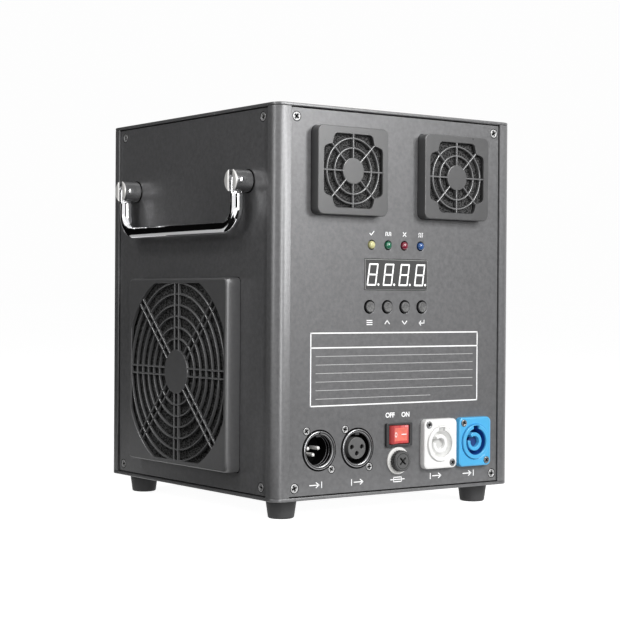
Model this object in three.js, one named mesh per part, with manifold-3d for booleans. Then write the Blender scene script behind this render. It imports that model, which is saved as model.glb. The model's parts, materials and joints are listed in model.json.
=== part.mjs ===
// A cold spark machine: a powder coated case on four rubber feet, with a drop handle on each side,
// an intake fan, a control panel with two exhaust fans, and the spark engine inside.
// Millimetres, +Z up. The origin is on the ground, under the middle of the machine's whole extent.
// The control panel faces -Y and the intake side faces -X.
import * as THREE from 'three';
import { mergeVertices } from 'three/addons/utils/BufferGeometryUtils.js';
import Module from 'manifold-3d';

const wasm = await Module();
wasm.setup();

// Fits shared by all pieces
const seat = 0.05; // between pieces that are fastened together
const running = 0.3; // around every piece that moves, and around a piece that passes through a hole
const overrun = 0.5; // how far a cutting shape passes the face that it cuts
const vertexMerge = 0.0001; // points closer than this are one point

// Case. Its width follows from the row of sockets, below.
const caseDepth = 202;
const caseHeight = 240;
const caseCorner = 7;
const plateThickness = 2;
const postFace = 10.5; // width of a post's outer face on each side of its corner
const postFlange = 20; // reach of the flange that the panels are screwed to
const postWall = 2;
const panelThickness = 1.5;
const panelRecess = 1.2; // how far the panels lie behind the posts' faces
const panelGap = 0.4; // around the edge of each panel

// Feet
const footHeight = 12;
const footTopRadius = 9.6;
const footBaseRadius = 8;
const footRounding = 1.2;
const footInsetX = 17;
const footInsetY = 18;

// Intake side: cover, filter and 120 mm fan
const intakeMargin = 12.1; // from the bottom plate to the cover
const intakeCoverWidth = 121;
const intakeCoverCorner = 3;
const intakeCoverDepth = 9.9;
const intakeFrameWidth = 3.5; // from the cover's edge to the flats of its opening
const intakeOpeningBulge = 6.4; // how far the arcs in the opening's corners pass the flats' distance
const intakeHubRadius = 14.2;
const intakeRingCount = 6;
const intakeRingLap = 0.4; // of the last ring into the frame
const intakeSpokeSpacing = 5; // between the two ribs of a double spoke
const intakeRibWidth = 1.3;
const intakeCutoutMargin = 0.5; // of the hole in the panel round the opening
const intakeFanWidth = 120;
const intakeFanDepth = 25;
const intakeFanBore = 57.6;
const intakeFanHub = 20;

// Exhaust side: covers, filters and 50 mm fans
const exhaustMargin = 10.5; // from the top plate to the covers
const exhaustOffset = 42; // from the middle of the control panel to each fan's axis
const exhaustCoverWidth = 54;
const exhaustCoverCorner = 4;
const exhaustCoverDepth = 7.3;
const exhaustFrameWidth = 4.4; // from the cover's edge to the flats of its opening
const exhaustShoulder = 10; // from a corner of the opening to the end of a flat, where a shoulder starts
const exhaustBossInset = 2.6; // of a screw boss's axis behind the flats
const exhaustBossRadius = 5.5;
const exhaustHubRadius = 8.2;
const exhaustRingCount = 2;
const exhaustRibWidth = 1;
const exhaustCutoutMargin = 0.4;
const exhaustFanWidth = 50;
const exhaustFanDepth = 15;
const exhaustFanBore = 23.6;
const exhaustFanHub = 11;

// Values that all the fans and covers share
const coverWall = 2;
const coverSkin = 2.2; // thickness of the cover's face, and of its ribs
const ribRecess = 0.3; // how far the ribs lie behind the cover's face
const foamClearance = 0.6;
const fanCorner = 4;
const fanStrutWidth = 4;
const fanStrutThickness = 3;
const fanShaftRadius = 1.5;
const bladeThickness = 1.4;
const bladeChordShare = 0.8; // of the rotor's height, across a blade
const bladePitch = Math.PI / 4;
const bladeClearance = 1.2;

// Handles
const handleRiseShare = 0.5615; // of the way from the intake cover up to the case's top
const handleInset = 33; // from the case's corner to a post's axis
const handlePostRadius = 7;
const handlePostLength = 13.2;
const handlePinReach = 8.2; // from the panel to the cross pin
const handlePinRadius = 1.6;
const handleRodRadius = 4;
const handleDrop = 28.3; // from the cross pins to the middle of the bar
const handleBend = 13;

// Display, lamps, buttons and their board, placed from the middle of the control panel
const controlsOffset = -2.2;
const displayWidth = 50.3;
const displayHeight = 19;
const displayDepth = 8;
const displayProud = 0.7;
const displayDrop = 6.4; // from the lamps down to the display
const lampPitch = 13.2;
const lampDrop = 17.5; // from the exhaust covers down to the lamps' axes
const lampRadius = 2.5;
const lampFlange = 2.9;
const lampFlangeThickness = 1;
const lampProud = 2.4;
const lampLength = 8.6;
const lampLeadWidth = 3;
const lampLeadThickness = 0.6;
const buttonPitch = 14.1;
const buttonDrop = 6.5; // from the display down to the buttons' holes
const buttonRadius = 3.5;
const buttonProud = 1.2;
const buttonFlange = 4.8;
const buttonFlangeThickness = 1;
const buttonTravel = 0.6;
const buttonHole = 4.3;
const boardThickness = 1.6;
const boardMargin = 6; // of the board past the lamps above and the buttons below
const tactWidth = 6;
const standoffRadius = 2.5;
const standoffInset = 3; // of a standoff's axis from the board's edges
const standoffGap = 1.55; // from the outer buttons' flanges to the standoffs

// Data and power sockets
const socketRise = 29.7;
const socketGap = 1.8; // between the power sockets' flanges
const socketFromSwitch = 8; // from the switch's bezel to the flange beside it
const socketFlangeWidth = 26;
const socketFlangeHeight = 31;
const socketFlangeThickness = 2;
const dataBarrelRadius = 11.9;
const dataProud = 0.9;
const dataCupRadius = 9.6;
const dataCupDepth = 15.9;
const dataGrooveDepth = 11;
const dataBodyLength = 20;
const dataBodyRadius = 11;
const dataPinRadius = 1.2;
const dataPinLength = 9.2;
const dataPinSpread = 3.9; // from the axis to the upper two contacts, sideways
const dataPinUp = 0.8;
const dataPinDown = 3.2; // from the axis to the lowest contact
const dataKeyWidth = 3.4;
const dataKeyHeight = 1.6;
const dataInsertRadius = 7.3;
const dataInsertRecess = 1.2;
const powerFlangeWidth = 27.6;
const powerFlangeHeight = 32;
const powerFlangeThickness = 4.2;
const powerFlangeCorner = 3.5;
const powerRimRadius = 11.2;
const powerRimProud = 1.2;
const powerRecessRadius = 8.6;
const powerRecessDepth = 12;
const powerCoreRadius = 6;
const powerCoreRecess = 1.5; // how far the core lies behind the rim's face
const powerPocketRadius = 3.6;
const powerSlotWidth = 4.6;
const powerSlotDepth = 7;
const powerKeyWidth = 4.4;
const powerKeyReach = 10.4;
const powerBodyRadius = 11.6;
const powerBodyLength = 24;
const socketHoleClearance = 0.4;

// Rocker switch and fuse
const switchRise = 36.8;
const bezelWidth = 21;
const bezelHeight = 15;
const bezelProud = 2;
const bezelCorner = 1;
const switchBodyWidth = 18.6;
const switchBodyHeight = 13.8;
const switchBodyDepth = 15;
const rockerRadius = 8; // of the rocker's round ends about its pivot
const rockerTop = 4; // from the pivot to the rocker's raised edges
const rockerDip = 2.2; // from the pivot to the middle of its hollow face
const rockerBase = 3.4;
const rockerHeight = 11.6;
const rockerPivotDepth = 1.2; // of the pivot behind the panel's face
const rockerTiltDegrees = 10; // either way from its middle
const trunnionRadius = 1;
const trunnionLength = 0.7;
const fuseRise = 20.3;
const fuseCollarRadius = 8.7;
const fuseCollarProud = 0.9;
const fuseBodyRadius = 6.2;
const fuseBodyLength = 28;
const fuseNutRadius = 9;
const fuseNutThickness = 3;
const fuseCapRadius = 6.7;
const fuseCapHeight = 4.1;
const fuseCapChamfer = 0.9;
const fusePlugRadius = 4;
const fusePlugLength = 12;
const fuseSlotLength = 5.6;
const fuseSlotWidth = 1.1;
const fuseSlotDepth = 1;

// Nozzle and hopper lid in the top
const nozzleFlangeRadius = 22;
const nozzleFlangeThickness = 3;
const nozzleChamfer = 1.2;
const nozzleRadius = 15;
const nozzleBore = 12;
const nozzleLength = 35; // below the case's top
const mouthWidth = 54;
const mouthFromNozzle = 15; // from the nozzle's flange to the hopper's mouth
const mouthFromEdge = 24; // from the mouth to the far edge of the case
const lidOverlap = 5; // of the lid past the mouth, all round
const lidThickness = 2.2;
const hingeGap = 3; // between the lid's plate and the hinge's barrel
const hingeRadius = 2.6;
const hingePinRadius = 1.2;
const hingeBarrelLength = 28;
const hingeEarLength = 5;
const knobRadius = 6;
const knobHeight = 6;
const knobInset = 11; // of the knob's axis from the lid's front edge

// Hopper, feed screw and feed motor
const hopperWall = 2;
const hopperRim = 6; // width of the rim under the top plate
const troughDrop = 29; // from the nozzle's lower end down to the screw's axis
const troughBore = 8.3;
const troughSlotWidth = 14;
const troughInset = 3; // of the trough's end behind the mouth's far edge
const funnelLead = 5; // of the funnel's foot before the mouth's near edge
const funnelInset = 9; // of the funnel's foot behind the mouth's far edge
const screwClearance = 0.5;
const screwCore = 2.5;
const screwFlightThickness = 1.6;
const screwTurns = 5;
const screwFront = 14;
const screwEndGap = 3.4; // from the end of the flight to the trough's end
const feedMotorRadius = 12;
const feedMotorLength = 20;
const feedMotorBoreDepth = 10;
const bearingPlate = 2;

// Spark chamber, coil, impeller and impeller motor
const drumRise = 60;
const drumRadius = 35;
const drumWall = 4;
const drumLength = 36;
const drumEndWall = 3;
const ductRadius = 18;
const ductSocketDepth = 8; // how deep the nozzle sits in the duct
const portRadius = 10.3;
const portReach = 24; // from the duct's axis to the end of the feed port
const pedestalWidth = 50;
const pedestalBaseWidth = 64;
const pedestalBaseThickness = 3;
const coilRadius = 29;
const coilLowShare = 0.38; // of the way from the drum up to the feed port, to the coil's lower end
const coilHighShare = 0.92; // and to its upper end
const coilLedgeRadius = 27;
const coilLedgeThickness = 3;
const impellerRadius = 26;
const impellerWidth = 14;
const impellerDisc = 2;
const impellerHub = 7;
const impellerPaddles = 8;
const paddleThickness = 1.4;
const shaftRadius = 3;
const impellerMotorRadius = 18;
const impellerMotorLength = 40;
const shaftMotorLength = 25;

// Power supply
const supplyWidth = 38;
const supplyLength = 116;
const supplyHeight = 52;
const supplyFromWall = 2; // to the right panel
const supplyCorner = 2;

// How many flat faces stand for a round one
const fine = 32;
const medium = 24;
const coarse = 12;
const few = 8;
const nutSides = 6;

// Derived places
const socketInner = bezelWidth / 2 + socketFromSwitch + powerFlangeWidth / 2;
const socketOuter = socketInner + powerFlangeWidth + socketGap;
const halfWidth = socketOuter + socketFlangeWidth / 2 + running + postFlange;
const caseWidth = 2 * halfWidth;
const halfDepth = caseDepth / 2;
const controlFace = halfDepth - panelRecess;
const sideFace = halfWidth - panelRecess;
const caseTop = caseHeight;
const floorTop = plateThickness;
const ceiling = caseHeight - plateThickness;
const postPocket = panelRecess + panelThickness + seat;
const boardFace = controlFace + displayProud - displayDepth - seat;
const intakeOpeningHalf = intakeCoverWidth / 2 - intakeFrameWidth;
const intakeOpeningRadius = intakeOpeningHalf + intakeOpeningBulge;
const intakeRingPitch = (intakeOpeningHalf + intakeRingLap - intakeHubRadius) / intakeRingCount;
const intakeCutout = intakeOpeningHalf + intakeCutoutMargin;
const exhaustOpeningHalf = exhaustCoverWidth / 2 - exhaustFrameWidth;
const exhaustFlatHalf = exhaustOpeningHalf - exhaustShoulder;
const exhaustBossOffset = exhaustOpeningHalf - exhaustBossInset;
const exhaustRingPitch = (exhaustBossOffset - exhaustHubRadius) / exhaustRingCount;
const exhaustCutout = exhaustOpeningHalf + exhaustCutoutMargin;
const intakeRise = floorTop + intakeMargin + intakeCoverWidth / 2;
const intakeTop = intakeRise + intakeCoverWidth / 2;
const exhaustRise = ceiling - exhaustMargin - exhaustCoverWidth / 2;
const lampRise = exhaustRise - exhaustCoverWidth / 2 - lampDrop;
const displayRise = lampRise - lampRadius - displayDrop - displayHeight / 2;
const buttonRise = displayRise - displayHeight / 2 - buttonDrop - buttonHole;
const handleRise = intakeTop + handleRiseShare * (caseTop - intakeTop);
const handleSpan = caseDepth - 2 * handleInset;
const mouthFront = nozzleFlangeRadius + mouthFromNozzle;
const mouthBack = halfDepth - mouthFromEdge;
const nozzleEnd = caseTop - nozzleLength;
const troughRise = nozzleEnd - troughDrop;
const troughBack = mouthBack - troughInset;
const mostProud = exhaustCoverDepth - panelRecess;

// Quarter turn that takes each side's own frame (right, up, outward) to the case's frame
const sideTurns = {
  control: 0,
  right: Math.PI / 2,
  front: Math.PI,
  left: -Math.PI / 2,
};

// Closes a geometry: one point per corner, no empty triangles, faces outward.
function closed(geometry) {
  const bare = geometry.clone();
  bare.deleteAttribute('normal');
  bare.deleteAttribute('uv');
  const merged = mergeVertices(bare, vertexMerge);
  const corners = merged.index.array;
  const kept = [];
  for (let i = 0; i < corners.length; i += 3) {
    const [a, b, c] = [corners[i], corners[i + 1], corners[i + 2]];
    if (a !== b && b !== c && c !== a) {
      kept.push(a, b, c);
    }
  }
  merged.setIndex(kept);
  if (signedVolume(merged) < 0) {
    for (let i = 0; i < kept.length; i += 3) {
      [kept[i + 1], kept[i + 2]] = [kept[i + 2], kept[i + 1]];
    }
    merged.setIndex(kept);
  }
  return merged;
}

function signedVolume(geometry) {
  const place = geometry.getAttribute('position');
  const index = geometry.index.array;
  const [a, b, c] = [new THREE.Vector3(), new THREE.Vector3(), new THREE.Vector3()];
  let sum = 0;
  for (let i = 0; i < index.length; i += 3) {
    a.fromBufferAttribute(place, index[i]);
    b.fromBufferAttribute(place, index[i + 1]);
    c.fromBufferAttribute(place, index[i + 2]);
    sum += a.dot(b.cross(c));
  }
  return sum / 6;
}

function solidOf(geometry) {
  const whole = closed(geometry);
  return new wasm.Manifold(new wasm.Mesh({
    numProp: 3,
    vertProperties: whole.getAttribute('position').array,
    triVerts: new Uint32Array(whole.index.array),
  }));
}

function geometryOf(solid) {
  const mesh = solid.getMesh();
  const geometry = new THREE.BufferGeometry();
  const places = new Float32Array(mesh.vertProperties);
  geometry.setAttribute('position', new THREE.BufferAttribute(places, 3));
  geometry.setIndex([...mesh.triVerts]);
  return geometry;
}

function joined(...geometries) {
  return geometryOf(geometries.map(solidOf).reduce((whole, next) => whole.add(next)));
}

function cut(geometry, ...tools) {
  return geometryOf(tools.map(solidOf).reduce((rest, tool) => rest.subtract(tool), solidOf(geometry)));
}

function common(geometry, other) {
  return geometryOf(solidOf(geometry).intersect(solidOf(other)));
}

// Box between two corners.
function box([x0, y0, z0], [x1, y1, z1]) {
  const geometry = new THREE.BoxGeometry(x1 - x0, y1 - y0, z1 - z0);
  return geometry.translate((x0 + x1) / 2, (y0 + y1) / 2, (z0 + z1) / 2);
}

// Prism of an outline in X and Y, from one height to another.
// An arc of the outline gets twice as many flat faces as the number of steps.
function prism(outline, low, high, steps = 3) {
  const options = { depth: high - low, bevelEnabled: false, curveSegments: steps };
  return new THREE.ExtrudeGeometry(outline, options).translate(0, 0, low);
}

// Upright round bar.
function bar(radius, x, y, low, high, sides = medium) {
  const geometry = new THREE.CylinderGeometry(radius, radius, high - low, sides);
  return geometry.rotateX(Math.PI / 2).translate(x, y, (low + high) / 2);
}

// Round bar along Y.
function barAlongY(radius, x, z, near, far, sides = medium) {
  const geometry = new THREE.CylinderGeometry(radius, radius, far - near, sides);
  return geometry.translate(x, (near + far) / 2, z);
}

// Round bar along X.
function barAlongX(radius, y, z, near, far, sides = medium) {
  const geometry = new THREE.CylinderGeometry(radius, radius, far - near, sides);
  return geometry.rotateZ(Math.PI / 2).translate((near + far) / 2, y, z);
}

// Solid turned about an upright axis from [radius, height] points that start and end on the axis
// or close on themselves.
function turned(points, x = 0, y = 0, sides = medium) {
  const profile = points.map(([radius, height]) => new THREE.Vector2(radius, height));
  const geometry = new THREE.LatheGeometry(profile, sides);
  return geometry.rotateX(Math.PI / 2).translate(x, y, 0);
}

function roundedOutline(width, height, corner, x = 0, y = 0) {
  const [w, h] = [width / 2, height / 2];
  const outline = new THREE.Shape();
  outline.moveTo(x - w + corner, y - h);
  outline.lineTo(x + w - corner, y - h);
  outline.absarc(x + w - corner, y - h + corner, corner, -Math.PI / 2, 0, false);
  outline.lineTo(x + w, y + h - corner);
  outline.absarc(x + w - corner, y + h - corner, corner, 0, Math.PI / 2, false);
  outline.lineTo(x - w + corner, y + h);
  outline.absarc(x - w + corner, y + h - corner, corner, Math.PI / 2, Math.PI, false);
  outline.lineTo(x - w, y - h + corner);
  outline.absarc(x - w + corner, y - h + corner, corner, Math.PI, Math.PI * 1.5, false);
  return outline;
}

function polygonOutline(points) {
  return new THREE.Shape(points.map(([x, y]) => new THREE.Vector2(x, y)));
}

// Turns a geometry made in a side's own frame (right, up, outward from the case's middle).
function onSide(geometry, side) {
  return geometry.clone().rotateX(Math.PI / 2).rotateZ(sideTurns[side]);
}

// Round rod along points, with a section square to its path at each end and mitred between.
function rod(points, radius, sides) {
  const places = [];
  const faces = [];
  const path = points.map((p) => new THREE.Vector3(...p));
  const last = path.length - 1;
  path.forEach((point, i) => {
    const into = path[i].clone().sub(path[Math.max(i - 1, 0)]).normalize();
    const out = path[Math.min(i + 1, last)].clone().sub(path[i]).normalize();
    const along = into.clone().add(out).normalize();
    const across = new THREE.Vector3(1, 0, 0);
    const up = new THREE.Vector3().crossVectors(along, across);
    const bend = i > 0 && i < last ? 1 / Math.cos(into.angleTo(out) / 2) : 1;
    for (let k = 0; k < sides; k += 1) {
      const angle = (2 * Math.PI * k) / sides;
      const spot = point.clone();
      spot.addScaledVector(across, radius * Math.cos(angle));
      spot.addScaledVector(up, radius * bend * Math.sin(angle));
      places.push(spot.x, spot.y, spot.z);
    }
  });
  for (let i = 0; i < last; i += 1) {
    for (let k = 0; k < sides; k += 1) {
      const next = (k + 1) % sides;
      const [a, b] = [i * sides + k, i * sides + next];
      faces.push(a, b, b + sides, a, b + sides, a + sides);
    }
  }
  for (let k = 1; k < sides - 1; k += 1) {
    faces.push(0, k + 1, k);
    faces.push(last * sides, last * sides + k, last * sides + k + 1);
  }
  const geometry = new THREE.BufferGeometry();
  geometry.setAttribute('position', new THREE.Float32BufferAttribute(places, 3));
  geometry.setIndex(faces);
  return geometry;
}

// Four sided solid between a rectangle at one height and another rectangle higher up.
// Each rectangle is [x0, x1, y0, y1, z].
function funnel(lower, upper) {
  const places = [lower, upper].flatMap(([x0, x1, y0, y1, z]) => [
    x0, y0, z, x1, y0, z, x1, y1, z, x0, y1, z,
  ]);
  const faces = [0, 2, 1, 0, 3, 2, 4, 5, 6, 4, 6, 7];
  for (let k = 0; k < 4; k += 1) {
    const next = (k + 1) % 4;
    faces.push(k, next, next + 4, k, next + 4, k + 4);
  }
  const geometry = new THREE.BufferGeometry();
  geometry.setAttribute('position', new THREE.Float32BufferAttribute(places, 3));
  geometry.setIndex(faces);
  return geometry;
}

const machine = new THREE.Group();
const caseGroup = new THREE.Group();
caseGroup.position.set(0, mostProud / 2, footHeight);
machine.add(caseGroup);

const finishes = {
  coat: { color: 0x4a4a4b, roughness: 0.6, metalness: 0.3 },
  chrome: { color: 0xd8d8da, roughness: 0.08, metalness: 1 },
  rubber: { color: 0x1c1c1d, roughness: 0.85, metalness: 0 },
  foam: { color: 0x232323, roughness: 1, metalness: 0 },
  blackPlastic: { color: 0x151515, roughness: 0.5, metalness: 0 },
  greyPlastic: { color: 0x6d6d6b, roughness: 0.5, metalness: 0 },
  whitePlastic: { color: 0xf2f2f0, roughness: 0.35, metalness: 0 },
  bluePlastic: { color: 0x3aa7e6, roughness: 0.35, metalness: 0 },
  redPlastic: { color: 0xd22a22, roughness: 0.25, metalness: 0 },
  creamLens: { color: 0xe6e2a8, roughness: 0.15, metalness: 0 },
  greenLens: { color: 0x1f8f56, roughness: 0.15, metalness: 0 },
  redLens: { color: 0xb5213a, roughness: 0.15, metalness: 0 },
  blueLens: { color: 0x1d6fc0, roughness: 0.15, metalness: 0 },
  board: { color: 0x1c5a35, roughness: 0.6, metalness: 0 },
  steel: { color: 0xa9abad, roughness: 0.35, metalness: 1 },
  nickel: { color: 0xc9c9c6, roughness: 0.2, metalness: 1 },
  copper: { color: 0xb36a3c, roughness: 0.4, metalness: 1 },
};

function add(name, geometry, finish) {
  const mesh = new THREE.Mesh(closed(geometry), new THREE.MeshStandardMaterial(finishes[finish]));
  mesh.name = name;
  caseGroup.add(mesh);
}

// Case: bottom and top plates, corner posts, side panels
const hingeAxisY = mouthBack + lidOverlap + hingeGap + hingeRadius;
const hingeAxisZ = caseTop + hingeRadius + 2 * running;
const hingeEarStart = hingeBarrelLength / 2 + running;

function addPlates() {
  const footprint = roundedOutline(caseWidth, caseDepth, caseCorner);
  add('bottom_plate', prism(footprint, 0, plateThickness), 'coat');

  const mouth = box(
    [-mouthWidth / 2, mouthFront, ceiling - overrun],
    [mouthWidth / 2, mouthBack, caseTop + overrun],
  );
  const nozzleHole = bar(nozzleRadius + running, 0, 0, ceiling - overrun, caseTop + overrun, fine);
  const parts = [cut(prism(footprint, ceiling, caseTop), mouth, nozzleHole)];
  for (const way of [-1, 1]) {
    const ends = [way * hingeEarStart, way * (hingeEarStart + hingeEarLength)].sort((a, b) => a - b);
    parts.push(barAlongX(hingeRadius, hingeAxisY, hingeAxisZ, ends[0], ends[1], coarse));
    parts.push(box(
      [ends[0], hingeAxisY - hingeRadius, ceiling + plateThickness / 2],
      [ends[1], hingeAxisY + hingeRadius, hingeAxisZ],
    ));
  }
  const pinEnd = hingeEarStart + hingeEarLength / 2;
  parts.push(barAlongX(hingePinRadius, hingeAxisY, hingeAxisZ, -pinEnd, pinEnd, coarse));
  add('top_plate', joined(...parts), 'coat');
}

// Section of a corner post, with the corner of the case at the origin and its faces along +X and +Y.
function postOutline() {
  const inner = postPocket + postWall;
  const outline = new THREE.Shape();
  outline.moveTo(caseCorner, 0);
  outline.lineTo(postFace, 0);
  outline.lineTo(postFace, postPocket);
  outline.lineTo(postFlange, postPocket);
  outline.lineTo(postFlange, inner);
  outline.lineTo(inner, inner);
  outline.lineTo(inner, postFlange);
  outline.lineTo(postPocket, postFlange);
  outline.lineTo(postPocket, postFace);
  outline.lineTo(0, postFace);
  outline.lineTo(0, caseCorner);
  outline.absarc(caseCorner, caseCorner, caseCorner, Math.PI, Math.PI * 1.5, false);
  return outline;
}

const cornerNames = {
  control_left: [-1, -1],
  control_right: [1, -1],
  front_left: [-1, 1],
  front_right: [1, 1],
};

function addPosts() {
  for (const [name, [wayX, wayY]] of Object.entries(cornerNames)) {
    const post = prism(postOutline(), floorTop + seat, ceiling - seat);
    post.scale(-wayX, -wayY, 1);
    post.translate(wayX * halfWidth, wayY * halfDepth, 0);
    add('corner_post_' + name, post, 'coat');
  }
}

function addFeet() {
  const profile = [[0, -footHeight], [footBaseRadius - footRounding, -footHeight]];
  const roundingSteps = 3;
  for (let i = 1; i <= roundingSteps; i += 1) {
    const angle = (Math.PI / 2) * (i / roundingSteps);
    profile.push([
      footBaseRadius - footRounding + footRounding * Math.sin(angle),
      footRounding - footHeight - footRounding * Math.cos(angle),
    ]);
  }
  profile.push([footTopRadius, -seat], [0, -seat]);
  for (const [name, [wayX, wayY]] of Object.entries(cornerNames)) {
    const [x, y] = [wayX * (halfWidth - footInsetX), wayY * (halfDepth - footInsetY)];
    add('foot_' + name, turned(profile, x, y), 'rubber');
  }
}

function roundHole(x, y, radius, segments) {
  return bar(radius, x, y, -overrun, panelThickness + overrun, segments);
}

function squareHole(x, y, width, height) {
  return box(
    [x - width / 2, y - height / 2, -overrun],
    [x + width / 2, y + height / 2, panelThickness + overrun],
  );
}

// A flat panel on one side, with its holes cut, its outer face at the given distance.
function addPanel(name, side, width, face, holes) {
  const across = width / 2 - postFace - panelGap;
  const sheet = box(
    [-across, floorTop + panelGap, 0],
    [across, ceiling - panelGap, panelThickness],
  );
  const cutSheet = holes.length ? cut(sheet, ...holes) : sheet;
  add(name, onSide(cutSheet.translate(0, 0, face - panelThickness), side), 'coat');
}

// The four lamps, and the four buttons, lie in a row that is centred on the display.
const rowShares = [-1.5, -0.5, 0.5, 1.5];
const lampPlaces = rowShares.map((share) => controlsOffset + share * lampPitch);
const buttonPlaces = rowShares.map((share) => controlsOffset + share * buttonPitch);

function addPanels() {
  addPanel('right_panel', 'right', caseDepth, sideFace, []);
  addPanel('front_panel', 'front', caseWidth, controlFace, []);
  addPanel('left_panel', 'left', caseDepth, sideFace, [roundHole(0, intakeRise, intakeCutout, fine)]);

  const holes = [];
  for (const way of [-1, 1]) {
    holes.push(roundHole(way * exhaustOffset, exhaustRise, exhaustCutout, medium));
    holes.push(roundHole(way * socketOuter, socketRise, powerBodyRadius + socketHoleClearance, medium));
    holes.push(roundHole(way * socketInner, socketRise, powerBodyRadius + socketHoleClearance, medium));
  }
  lampPlaces.forEach((x) => holes.push(roundHole(x, lampRise, lampRadius + running, coarse)));
  buttonPlaces.forEach((x) => holes.push(roundHole(x, buttonRise, buttonHole, coarse)));
  const displayHole = [displayWidth + 2 * running, displayHeight + 2 * running];
  holes.push(squareHole(controlsOffset, displayRise, ...displayHole));
  holes.push(squareHole(0, switchRise, switchBodyWidth + 2 * running, switchBodyHeight + 2 * running));
  holes.push(roundHole(0, fuseRise, fuseBodyRadius + running, coarse));
  addPanel('control_panel', 'control', caseWidth, controlFace, holes);
}

// Fan covers: a shallow box with a grille of rings and spokes in its face.
function intakeOpening() {
  const start = Math.acos(intakeOpeningHalf / intakeOpeningRadius);
  const outline = new THREE.Shape();
  const rise = intakeOpeningRadius * Math.sin(start);
  outline.moveTo(intakeOpeningHalf, -rise);
  for (let k = 0; k < 4; k += 1) {
    const turn = (k * Math.PI) / 2;
    const flatEnd = new THREE.Vector2(intakeOpeningHalf, rise).rotateAround(new THREE.Vector2(), turn);
    outline.lineTo(flatEnd.x, flatEnd.y);
    outline.absarc(0, 0, intakeOpeningRadius, turn + start, turn + Math.PI / 2 - start, false);
  }
  return outline;
}

function exhaustOpening() {
  const bossTurn = Math.PI / 6; // how far round the boss its shoulders reach
  const outline = new THREE.Shape();
  const centre = new THREE.Vector2();
  const place = (x, y, turn) => new THREE.Vector2(x, y).rotateAround(centre, turn);
  outline.moveTo(exhaustOpeningHalf, -exhaustFlatHalf);
  for (let k = 0; k < 4; k += 1) {
    const turn = (k * Math.PI) / 2;
    const boss = place(exhaustBossOffset, exhaustBossOffset, turn);
    const flatEnd = place(exhaustOpeningHalf, exhaustFlatHalf, turn);
    const firstAngle = turn + 1.5 * Math.PI - bossTurn;
    const lastAngle = turn + Math.PI + bossTurn;
    const first = new THREE.Vector2(Math.cos(firstAngle), Math.sin(firstAngle));
    first.multiplyScalar(exhaustBossRadius).add(boss);
    const nextFlat = place(exhaustFlatHalf, exhaustOpeningHalf, turn);
    outline.lineTo(flatEnd.x, flatEnd.y);
    outline.lineTo(first.x, first.y);
    outline.absarc(boss.x, boss.y, exhaustBossRadius, firstAngle, lastAngle, true);
    outline.lineTo(nextFlat.x, nextFlat.y);
  }
  return outline;
}

// One opening of a grille, between two rings and between two spoke edges that run beside radii.
// A spoke edge lies at the given distance from its radius.
function grilleCell(inner, outer, turn, span, edge, steps) {
  const points = [];
  for (const radius of [outer, inner]) {
    const lean = Math.asin(edge / radius);
    for (let i = 0; i <= steps; i += 1) {
      const share = radius === outer ? i / steps : 1 - i / steps;
      const angle = turn + lean + (span - 2 * lean) * share;
      points.push(new THREE.Vector2(radius * Math.cos(angle), radius * Math.sin(angle)));
    }
  }
  return new THREE.Shape(points);
}

const spokeCount = 8;
const spokeTurn = (2 * Math.PI) / spokeCount;

// A round plate of rings and spokes, between two heights.
function grilleGeometry(spec, low, high) {
  const { hubRadius, ringPitch, ringCount, ribWidth, spokeShifts, cellSteps } = spec;
  const plateRadius = hubRadius + ringCount * ringPitch + ribWidth / 2;
  const shift = Math.max(...spokeShifts);
  const cells = [];
  for (let ring = 0; ring < ringCount; ring += 1) {
    const inner = hubRadius + ring * ringPitch + (ring ? ribWidth / 2 : 0);
    const outer = hubRadius + (ring + 1) * ringPitch - ribWidth / 2;
    for (let k = 0; k < spokeCount; k += 1) {
      const turn = k * spokeTurn;
      cells.push(grilleCell(inner, outer, turn, spokeTurn, shift + ribWidth / 2, cellSteps));
      if (spokeShifts.length > 1) {
        cells.push(grilleCell(inner, outer, turn, 0, ribWidth / 2 - shift, 1));
      }
    }
  }
  const tools = cells.map((cell) => prism(cell, low - overrun, high + overrun));
  return cut(bar(plateRadius, 0, 0, low, high, spokeCount * cellSteps), ...tools);
}

// The cover in its side's frame, with the panel's face at height 0 and the fan's axis at the origin.
function coverGeometry(spec) {
  const { side, corner, depth, opening, hubRadius, ringPitch, ringCount, ribWidth } = spec;
  const inside = side - 2 * coverWall;
  const shell = cut(
    prism(roundedOutline(side, side, corner), seat, depth, 2),
    prism(roundedOutline(inside, inside, corner / 2), -overrun, depth - coverSkin, 1),
    prism(opening, depth - coverSkin - overrun, depth + overrun, 2),
  );
  const ribTop = depth - ribRecess;
  const ribLow = depth - coverSkin;
  const parts = [grilleGeometry(spec, ribLow, ribTop)];
  const plateRadius = hubRadius + ringCount * ringPitch;
  for (let k = 0; k < spokeCount; k += 1) {
    const reach = k % 2 ? spec.cornerReach : spec.flatReach;
    if (reach > plateRadius + ribWidth) {
      for (const shift of spec.spokeShifts) {
        const spoke = box(
          [plateRadius - ribWidth / 2, shift - ribWidth / 2, ribLow],
          [reach, shift + ribWidth / 2, ribTop],
        );
        parts.push(spoke.rotateZ(k * spokeTurn));
      }
    }
  }
  return joined(shell, ...parts);
}

const intakeCover = {
  side: intakeCoverWidth,
  corner: intakeCoverCorner,
  depth: intakeCoverDepth,
  opening: intakeOpening(),
  hubRadius: intakeHubRadius,
  ringPitch: intakeRingPitch,
  ringCount: intakeRingCount,
  ribWidth: intakeRibWidth,
  spokeShifts: [-intakeSpokeSpacing / 2, intakeSpokeSpacing / 2],
  flatReach: intakeOpeningHalf + coverWall / 2,
  cornerReach: intakeOpeningRadius + coverWall / 2,
  cellSteps: 3,
};

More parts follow.
